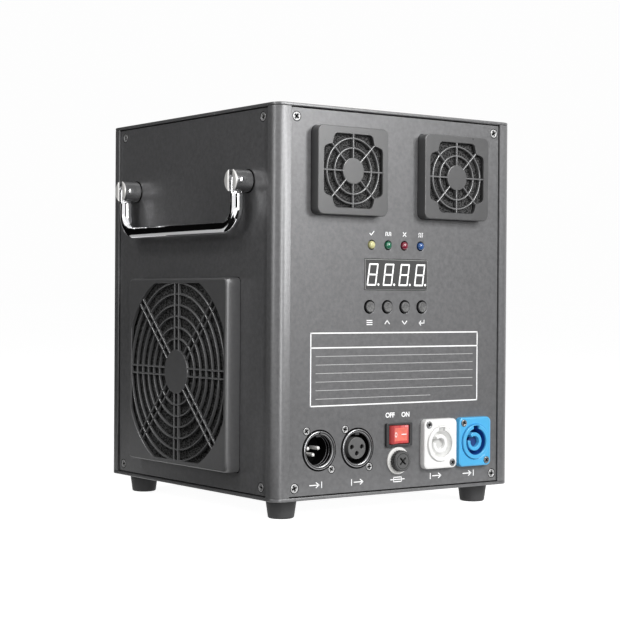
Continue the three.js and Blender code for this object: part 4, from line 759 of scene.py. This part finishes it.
for k, (u, word) in enumerate(zip(BUTTON_U, ("one", "two", "three", "four"))):
    # Painted shade: a near-black brim shows in the gap round each key, whose side is black and top
    # lighter
    brim = [(0, -2.8), (4.8, -2.8), (4.8, -1.8), (3.5, -1.8), (3.5, -0.3)]
    cap = [(3.5, -0.3), (3.5, 0.7), (3.4, 0.95), (3.15, 1.1)]
    top = [(3.15, 1.1), (2.95, 1.2), (2.6, 1.2), (2.2, 1.12), (0, 1.06)]
    parts = [(lathe(brim, 40), shade_black), (lathe(cap, 40), black), (lathe(top, 40), key_top)]
    piece("key_%d" % (k + 1), parts, on_control(u, BUTTON_V), "button_" + word,
          ["button_%d" % (k + 1)])

# Data sockets
CONTACTS = [(-3.9, 0.8), (3.9, 0.8), (0, -3.2)]


def data_socket(depth, steps=()):
    """Barrel, flange, bright lips of painted highlight and a lining of painted shade of a socket,
    with steps in its cup.
    """
    r = DATA_CUP
    barrel = [(0, -22), (11, -22), (11, -3.6), (11.9, -3.6), (11.9, 0.35), (11.65, 0.75),
              (11.3, 0.9), (10.9, 0.9), (10.6, 0.7), (10.4, 0.2), (10.1, 0.1), (r, -0.3),
              (r, -depth), (0, -depth)]
    # Painted highlight: bright rings on the rim's outer bevel and on its lip
    edges = [(11.9, 0.3), (11.66, 0.76), (11.3, 0.92), (11.25, 0.85), (11.6, 0.7), (11.85, 0.25)]
    lip = [(10.65, 0.72), (10.4, 0.25), (10.1, 0.13), (10.1, 0.05), (10.45, 0.15), (10.7, 0.62)]
    shapes = [(lathe(line, 72, closed=True), grey_metal_and_highlight) for line in (edges, lip)]
    # Painted shade: a near-black ring round the rim, in the gap to the panel
    shapes.append((plate(circle(12.8, 72), -0.5, 0.04, 0, [circle(11.8, 72)]), shade_black))
    flange = plate(rounded(26, 31, 3.5), -3.55, -1.55, 0.1, [circle(11.2, 48)])
    shapes += [(lathe(barrel, 72), black), (flange, dark_metal)]
    # Painted shade: the cup's wall and floor are lined near-black
    lining = [(r - 0.02, -0.5), (r - 0.02, 0.5 - depth), (0, 0.5 - depth), (0, 0.3 - depth),
              (r - 0.01, 0.3 - depth)]
    shapes.append((lathe(lining, 64), shade_black))
    for z in steps:
        step = [(r + 0.05, z), (r - 0.25, z - 0.15), (r - 0.25, z - 0.4), (r + 0.05, z - 0.55)]
        shapes.append((lathe(step, 64, closed=True), dark_metal))
    return shapes


inlet = data_socket(15, (-2.4, -5.2))
for x, y in CONTACTS:
    pin_shape = [(0, -15.2), (1.2, -15.2), (1.2, -6.6), (0.95, -6.0), (0.45, -5.75), (0, -5.7)]
    inlet.append((shift(lathe(pin_shape, 20), x, y), highlight_nickel))
inlet.append((box(-1.7, 1.7, 8.1, 10.2, -15, -0.9, 0.2), black))
# Painted shade: a near-black bar in the key notch at the top of the rim
inlet.append((box(-0.25, 0.25, 10.0, 11.75, 0.3, 0.93), shade_black))
piece("data_inlet_socket", inlet, on_control(-SOCKET_OUT, SOCKET_V), "housing",
      ["data_inlet"])

outlet = data_socket(11)
holes = [circle(1.45, 20, x, y) for x, y in CONTACTS]
outlet.append((plate(circle(6.8, 56), -10.9, -0.3, 0.3, holes), body_dark))
# Painted shade: near-black fill deep in each contact hole
for x, y in CONTACTS:
    outlet.append((shift(plate(circle(1.6, 16), -8, -1.6), x, y), shade_black))
outlet.append((box(-1.6, 1.6, 8.2, 10.6, -6, -0.2, 0.2), black))
piece("data_outlet_socket", outlet, on_control(-SOCKET_IN, SOCKET_V), "housing",
      ["data_outlet"])
fasteners = []
for k, (u, v) in enumerate(data_screws):
    fasteners += shifted(screw(2.35, 0.15, zinc, 35 + 20 * k), u, v)
piece("socket_screws", fasteners, on_control(0, 0), "housing")


# Power sockets
def power_socket(name, node, u, look, painted_recess, core):
    """A twist lock socket: flange, rim round a keyed hole, and a broken ring round a core."""
    key = [(2.1, 8.3), (2.1, 10.3), (-2.1, 10.3), (-2.1, 8.3)]
    notch = [(x, y) for x, y in circle(8.6, 72)
             if abs(math.degrees(math.atan2(y, x)) % 360 - 90) >= 14.2]
    split = next(i for i, (x, y) in enumerate(notch) if x < 0)
    notch = notch[:split] + key + notch[split:]
    flange = plate(rounded(27.6, 32, 3.5, steps=8), SEAT, 4.2, 1.1, [circle(11.0, 72)], 0.1)
    rim = plate(circle(11.2, 96), 3.6, 5.4, 0.4, [notch])
    # The recess and its floor take a paint of their own: darker blue as painted shade, glowing white
    # as painted light
    inside = plate(circle(11.1, 72), -7, 4.2, 0, [notch], 0)
    floor = plate(circle(10.6, 48), -7.4, -6.6)
    horseshoe = arc_points(6.0, 170, 490, 32) + arc_points(3.6, 490, 170, 32)
    shell = lathe([(0, -23), (11.5, -23), (11.5, -7.4), (0, -7.4)], 48)
    parts = [(flange, look), (rim, look), (inside, painted_recess), (floor, painted_recess), (shell, look),
             (plate(horseshoe, -6.8, 3.9, 0.35), look),
             # Painted shade: a darker core plug in the middle of the hole
             (plate(circle(3.55, 40), -6.8, 1.4, 0.2), core)]
    for s in (-1, 1):
        head = turn(plate(circle(2.2, 28), 4.15, 4.75, 0.2, [cross(2.9, 0.85)]), 15 + 30 * s)
        # Painted shade: a near-black ring under each screw head
        seat = plate(circle(2.35, 28), 4.15, 4.3)
        parts += shifted([(head, grey_metal_and_highlight), (seat, shade_black)], s * 9.85, -s * 12.4)
    piece(name, parts, on_control(u, SOCKET_V), "housing", [node])


power_socket("outlet_socket", "power_outlet", SOCKET_IN, white, glowing_socket_white, pale_core)
power_socket("inlet_socket", "power_inlet", SOCKET_OUT, blue, shaded_blue, blue_core)

# Switch and fuse
rocker_hole = [rounded(16.6, 12.2, 0.4, steps=3)]
bezel = [(plate(rounded(21, 15, 1), SEAT, 2.0, 0.35, rocker_hole), black),
         (plate(rounded(18.6, 13.8, 0.5, steps=3), -15, 0.3, 0, rocker_hole), black),
         (plate(rounded(18, 13, 0.5, steps=3), -15, -9.4), black)]
piece("switch_bezel", bezel, on_control(0, SWITCH_V), "housing",
      ["power_switch_body"])


def hollow(x, middle=2.2):
    """Height of the rocker's face, which rises from its middle to both ends."""
    half, rise, power = 6.9, 1.72, 1.35
    return middle + rise * (abs(x) / half) ** power


def on_face(shape):
    """Lays a thin mark on the rocker's hollow face."""
    return [(x, y, hollow(x, 2.24) + z) for x, y, z in shape[0]], shape[1]


flank = arc_points(8, -25, 30, 8)
face_curve = [(x, hollow(x)) for x in [6.3 - 12.6 * k / 20 for k in range(21)]]
rocker = plate(flank + face_curve + [(-x, z) for x, z in flank[::-1]], -5.8, 5.8, 0.35)
# The outline was drawn across the rocker, so its second and third axes change places
rocker = move(rocker, Matrix(((1, 0, 0, 0), (0, 0, 1, 0), (0, 1, 0, 0), (0, 0, 0, 1))))
columns = [-5.9 + 11.8 * k / 14 for k in range(15)]
# Painted light: a lighter, glowing red laid over the rocker's hollow face
glow_face_rows = [[(x, y, hollow(x, 2.215)) for x in columns] for y in (-4.0, 4.2)]
glow_face = (glow_face_rows[0] + glow_face_rows[1], [(k, k + 1, k + 16, k + 15) for k in range(14)])
ring_mark = plate(circle(1.6, 28, -4.1), 0, 0.05, 0, [circle(1.1, 28, -4.1)])
bar_mark = plate([(1.8, -0.26), (5.4, -0.26), (5.4, 0.26), (1.8, 0.26)], 0, 0.05)
tilted = [(rocker, red), (glow_face, red_painted_glow), (on_face(ring_mark), glowing_ink), (on_face(bar_mark), glowing_ink)]
tilted = [(turn(shape, 10, "Y"), look) for shape, look in tilted]
piece("rocker_key", tilted, on_control(0, SWITCH_V, CONTROL - 1.2), "rocker",
      ["power_rocker"])

collar = [(4.4, -16), (6.2, -16), (6.2, 0.05), (8.7, 0.05), (8.7, 0.6), (8.45, 0.9), (8.1, 0.95),
          (4.4, 0.95)]
nut = plate(circle(9, 6), -4.55, -1.55, 0.2, [circle(6.1, 32)])
holder = [(lathe(collar, 64, closed=True), highlight_nickel), (nut, nickel),
          (lathe([(0, -28), (6.2, -28), (6.2, -15.9), (0, -15.9)], 40), black)]
piece("fuse_socket", holder, on_control(0, FUSE_V), "housing", ["fuse_holder"])
ribs, rim = knurled(6.7, 0.4, 144, 6), circle(6.7, 144)
grip = [(ribs, 1.3), (ribs, 4.5), (inset(rim, 0.1), 4.75), (inset(rim, 0.9), 5.33)]
grip = skin([lift(loop, z) for loop, z in grip], high_cap=False)
slot_cross = [tuple(Matrix.Rotation(math.pi / 4, 2) @ Vector(p)) for p in cross(6.2, 1.25)]
top_face = plate(circle(5.82, 72), 3.6, 5.34, 0.03, [slot_cross])
groove = plate(circle(4.95, 64), 5.2, 5.36, 0, [circle(4.7, 64)])
# Painted light and shade: black knurled side, lighter top; near-black groove ring and slot floor
cap_parts = [(grip, black), (top_face, dark), (groove, shade_black), (plate(circle(5, 32), 3.0, 3.65), shade_black),
             (lathe([(0, -10.7), (4, -10.7), (4, 1.4), (0, 1.4)], 40), black)]
piece("fuse_knob", cap_parts, on_control(0, FUSE_V), "cap", ["fuse_cap"])


# Printing: outline, plain rules, figures and simple signs
def strokes(lines, width):
    """Flat bars along polylines."""
    shapes = []
    for line in lines:
        for a, b in zip(line, line[1:]):
            d = (Vector(b) - Vector(a)).normalized() * width / 2
            n = Vector((-d.y, d.x))
            a2, b2 = Vector(a) - d, Vector(b) + d
            loop = [tuple(a2 - n), tuple(b2 - n), tuple(b2 + n), tuple(a2 + n)]
            shapes.append(plate(loop, 0.005, 0.03))
    return shapes


def words(text, size, u, v, look):
    """Lettering as a flat shape, centred on a spot."""
    curve = bpy.data.curves.new("words", "FONT")
    curve.body, curve.size, curve.align_x, curve.align_y = text, size, "CENTER", "CENTER"
    curve.extrude, curve.offset = 0.012, size * 0.035
    obj = shown("words", curve)
    bpy.context.view_layer.update()
    evaluated = obj.evaluated_get(bpy.context.evaluated_depsgraph_get())
    mesh = bpy.data.meshes.new_from_object(evaluated)
    points = [(p.co.x + u, p.co.y + v, p.co.z + 0.018) for p in mesh.vertices]
    faces = [tuple(f.vertices) for f in mesh.polygons]
    bpy.data.objects.remove(obj)
    bpy.data.meshes.remove(mesh)
    return (points, faces), look


printing = [words("OFF", 4.2, -6.4, 49.1, glowing_ink), words("ON", 4.2, 6.2, 49.1, glowing_ink)]
left, right, low_v, high_v, divider = -68.5, 66.5, 56.7, 101.2, 92.2
frame_lines = [[(left, low_v), (right, low_v), (right, high_v), (left, high_v), (left, low_v)],
               [(left, divider), (right, divider)]]
printing += [(shape, glowing_ink) for shape in strokes(frame_lines, 0.8)]
RULES, RULE_PITCH = 6, 5.2
rules = []
for k in range(1, RULES + 1):
    v = divider - RULE_PITCH * k
    rules.append([(left + 4, v), (right - (4 if k < RULES else 40), v)])
printing += [(shape, faint_ink) for shape in strokes(rules, 0.35)]
arrow_in = [[(-5, 0), (2, 0)], [(-0.2, 1.5), (2, 0), (-0.2, -1.5)], [(4, 1.7), (4, -1.7)]]
arrow_out = [[(-4, 1.7), (-4, -1.7)], [(-2, 0), (5, 0)], [(2.8, 1.5), (5, 0), (2.8, -1.5)]]
fuse_sign = [[(-5.5, 0), (5.5, 0)],
             [(-3.2, 1.4), (3.2, 1.4), (3.2, -1.4), (-3.2, -1.4), (-3.2, 1.4)]]
signs = [(arrow_in, -63.6, 8.7), (arrow_out, -32.6, 8.7), (fuse_sign, 0, 8.4),
         (arrow_out, 31.1, 8.9), (arrow_in, 60, 8.9)]
tick = [[(-1.5, 0), (-0.5, -1.1), (1.6, 1.2)]]
wave = [[(-2, -1), (-2, 1), (-0.7, 1), (-0.7, -1), (0.7, -1), (0.7, 1), (2, 1), (2, -1)]]
saltire = [[(-1.1, -1.1), (1.1, 1.1)], [(-1.1, 1.1), (1.1, -1.1)]]
heat = [[(x, -1.2), (x + 0.5, -0.4), (x, 0.4), (x + 0.5, 1.2)] for x in (-1.6, -0.2, 1.2)]
for u, sign in zip(LAMP_U, (tick, wave, saltire, heat)):
    signs.append((sign, u, 163.2))
bars = [[(-2, y), (2, y)] for y in (-1.3, 0, 1.3)]
up = [[(-1.8, -0.8), (0, 1.2), (1.8, -0.8)]]
down = [[(-1.8, 0.8), (0, -1.2), (1.8, 0.8)]]
enter = [[(2, 1.3), (2, -0.5), (-2, -0.5)], [(-0.7, 0.8), (-2, -0.5), (-0.7, -1.8)]]
for u, sign in zip(BUTTON_U, (bars, up, down, enter)):
    signs.append((sign, u, 107.6))
for sign, u, v in signs:
    printing += [(shift(shape, u, v), glowing_ink) for shape in strokes(sign, 0.6)]
piece("panel_printing", printing, on_control(0, 0), "housing")

# Nozzle and hopper lid
NOZZLE_END = 205 - HEIGHT
ring_profile = [(12, NOZZLE_END), (15, NOZZLE_END), (15, 0.05), (21.8, 0.05), (22, 0.3), (22, 1.9),
                (21.5, 2.6), (20.8, 3.05), (14.4, 3.05), (13.4, 2.7), (12.4, 1.7), (12, 0.6)]
nozzle = [(lathe(ring_profile, 96, closed=True), steel)]
for k in range(4):
    a = math.radians(45 + 90 * k)
    nozzle += shifted(screw(1.7, 3.3, nickel, 20 * k), 18 * math.cos(a), 18 * math.sin(a))
piece("nozzle_ring", nozzle, upright(0, 0, HEIGHT), "housing", ["spark_nozzle"])

knuckle = [(1.55, -13.9), (2.45, -13.9), (2.6, -13.7), (2.6, 13.7), (2.45, 13.9), (1.55, 13.9)]
lid = [(plate(rounded(64, 50, 1.5, 0, 57, 4), 0.3, 2.5, 0.4), coat),
       (plate([(-14, 81.5), (14, 81.5), (14, LID_AXIS_Y), (-14, LID_AXIS_Y)], 0.3, 2.5, 0.2), coat),
       (along_x(knuckle, 0, LID_AXIS_Y, LID_AXIS_RISE), coat)]
knurl = knurled(6.0, 0.3, 120, 4)
knob_loops = [(circle(5, 120), 2.4), (circle(5, 120), 3.2), (knurl, 3.5), (knurl, 7.6),
              (circle(5.5, 120), 8.2), (circle(4.8, 120), 8.5)]
lid.append((shift(skin([lift(loop, z) for loop, z in knob_loops]), 0, 43), dark_metal))
piece("lid_plate", lid, upright(0, 0, HEIGHT), "lid", ["hopper_lid"])

# The solids that show as they are get a material of their own
LOOKS = {"black_plastic": black, "steel": steel, "copper": copper, "circuit_board": board,
         "aluminium": sheet}
slots = {entry["node"]: entry["material_slot"] for entry in frame["record"]["subparts"]}
for name, obj in frame["nodes"].items():
    if slots.get(name) in LOOKS and not obj.hide_render:
        obj.data.materials.clear()
        obj.data.materials.append(LOOKS[slots[name]])


# Stage: floor, world, lamps and camera
AMBIENT, BACKGROUND = 0.1, 0.985
FLOOR_GREY, FLOOR_GLOW = 0.52, 0.935


def direct_rays(tree):
    """1 for camera, glossy and transmission rays, 0 for the rays that light the part."""
    path = tree.nodes.new("ShaderNodeLightPath")
    value = path.outputs["Is Camera Ray"]
    for kind in ("Is Glossy Ray", "Is Transmission Ray"):
        most = node_of(tree, "ShaderNodeMath", operation="MAXIMUM")
        tree.links.new(value, most.inputs[0])
        tree.links.new(path.outputs[kind], most.inputs[1])
        value = most.outputs["Value"]
    return value


def stage_material():
    """A grey floor that also glows for direct rays, so that it melts into the background."""
    mat = bpy.data.materials.new("pale_floor")
    mat.use_nodes = True
    tree = mat.node_tree
    tree.nodes.clear()
    out = tree.nodes.new("ShaderNodeOutputMaterial")
    diffuse = node_of(tree, "ShaderNodeBsdfDiffuse")
    diffuse.inputs["Color"].default_value = (FLOOR_GREY, FLOOR_GREY, FLOOR_GREY, 1)
    shine = node_of(tree, "ShaderNodeEmission")
    shine.inputs["Color"].default_value = (1, 1, 1, 1)
    scale = node_of(tree, "ShaderNodeMath", operation="MULTIPLY")
    scale.inputs[1].default_value = FLOOR_GLOW
    add = tree.nodes.new("ShaderNodeAddShader")
    tree.links.new(direct_rays(tree), scale.inputs[0])
    tree.links.new(scale.outputs["Value"], shine.inputs["Strength"])
    tree.links.new(diffuse.outputs["BSDF"], add.inputs[0])
    tree.links.new(shine.outputs["Emission"], add.inputs[1])
    tree.links.new(add.outputs["Shader"], out.inputs["Surface"])
    return mat


def set_world():
    """White for direct rays and faint for the rays that light the part."""
    world = bpy.data.worlds.new("studio")
    bpy.context.scene.world = world
    world.use_nodes = True
    tree = world.node_tree
    background = tree.nodes["Background"]
    background.inputs["Color"].default_value = (1, 1, 1, 1)
    span = node_of(tree, "ShaderNodeMapRange")
    span.inputs["To Min"].default_value = AMBIENT
    span.inputs["To Max"].default_value = BACKGROUND
    tree.links.new(direct_rays(tree), span.inputs["Value"])
    tree.links.new(span.outputs["Result"], background.inputs["Strength"])


def rectangle(name, width, height, look):
    """A flat stage object about its own middle."""
    w, h = width / 2, height / 2
    mesh = bpy.data.meshes.new(name)
    mesh.from_pydata([(-w, -h, 0), (w, -h, 0), (w, h, 0), (-w, h, 0)], [], [(0, 1, 2, 3)])
    mesh.materials.append(look)
    return shown(name, mesh)


floor_obj = rectangle("floor", 60, 60, stage_material())
set_world()


def lamp(name, place, target, size, power):
    data = bpy.data.lights.new(name, "AREA")
    data.shape, data.size, data.size_y, data.energy = "RECTANGLE", size[0], size[1], power
    obj = shown(name, data)
    obj.location = place
    obj.rotation_euler = (Vector(target) - Vector(place)).to_track_quat("-Z", "Y").to_euler()


lamp("key", (0.44, -1.1, 0.58), (0, 0, 0.18), (0.3, 0.5), 7.9)
lamp("strip", (-0.4, -1.35, 0.5), (0, 0, 0.14), (0.12, 1.0), 8.4)
lamp("top", (0.05, -1.15, 0.85), (0, 0, 0.17), (0.3, 0.2), 5.6)
lamp("fill", (-0.95, 0.1, 1.1), (-0.1, 0, 0.15), (0.3, 0.3), 3.2)
lamp("left", (-1.28, 0.03, 0.58), (-0.1, 0, 0.17), (0.12, 0.5), 2.4)


# Cards beside the part, as a studio has, seen only in reflections: bright metal shows dark bands
def card(name, place, width, height, flat=False, look=shade_black):
    obj = rectangle(name, width, height, look)
    obj.location = place
    if not flat:
        inward = Vector((0, 0, place[2])) - Vector(place)
        obj.rotation_euler = inward.to_track_quat("Z", "Y").to_euler()
    obj.visible_camera = False
    obj.visible_shadow = False


card("far_card", (-0.75, 1.5, 0.85), 2.2, 1.7)
card("floor_card", (-0.9, 1.1, 0.002), 2.2, 1.25, flat=True)
card("side_card", (-0.97, 0.28, 0.002), 1.26, 0.38, flat=True)
card("line_card", (-0.26, 0.32, 0.003), 0.34, 0.42, flat=True, look=card_grey)
card("low_card", (-0.36, -0.02, 0.002), 0.5, 0.36, flat=True)
card("front_card", (0.25, -0.48, 0.002), 1.0, 0.55, flat=True)
card("near_card", (-1.2, -1.65, 0.4), 1.15, 1.2)
card("right_card", (1.2, -1.0, 0.25), 0.65, 0.9)

# Camera, fitted to the edges of the case
camera = bpy.data.cameras.new("camera")
camera.sensor_width = 36
camera.lens = 92.54
camera_obj = shown("camera", camera)
ahead = Vector((0.58839448, 0.80854757, -0.0065393))
rightward = Vector((0.80857264, -0.58835931, 0.00660366))
upward = Vector((-0.00149192, 0.00917306, 0.99995681))
spot = CASE + Vector((-0.63763, -0.88083, 0.12164))
axes = Matrix((rightward, upward, -ahead)).transposed().to_4x4()
camera_obj.matrix_world = Matrix.Translation(spot) @ axes
bpy.context.scene.camera = camera_obj
bpy.context.scene.view_settings.view_transform = "Standard"
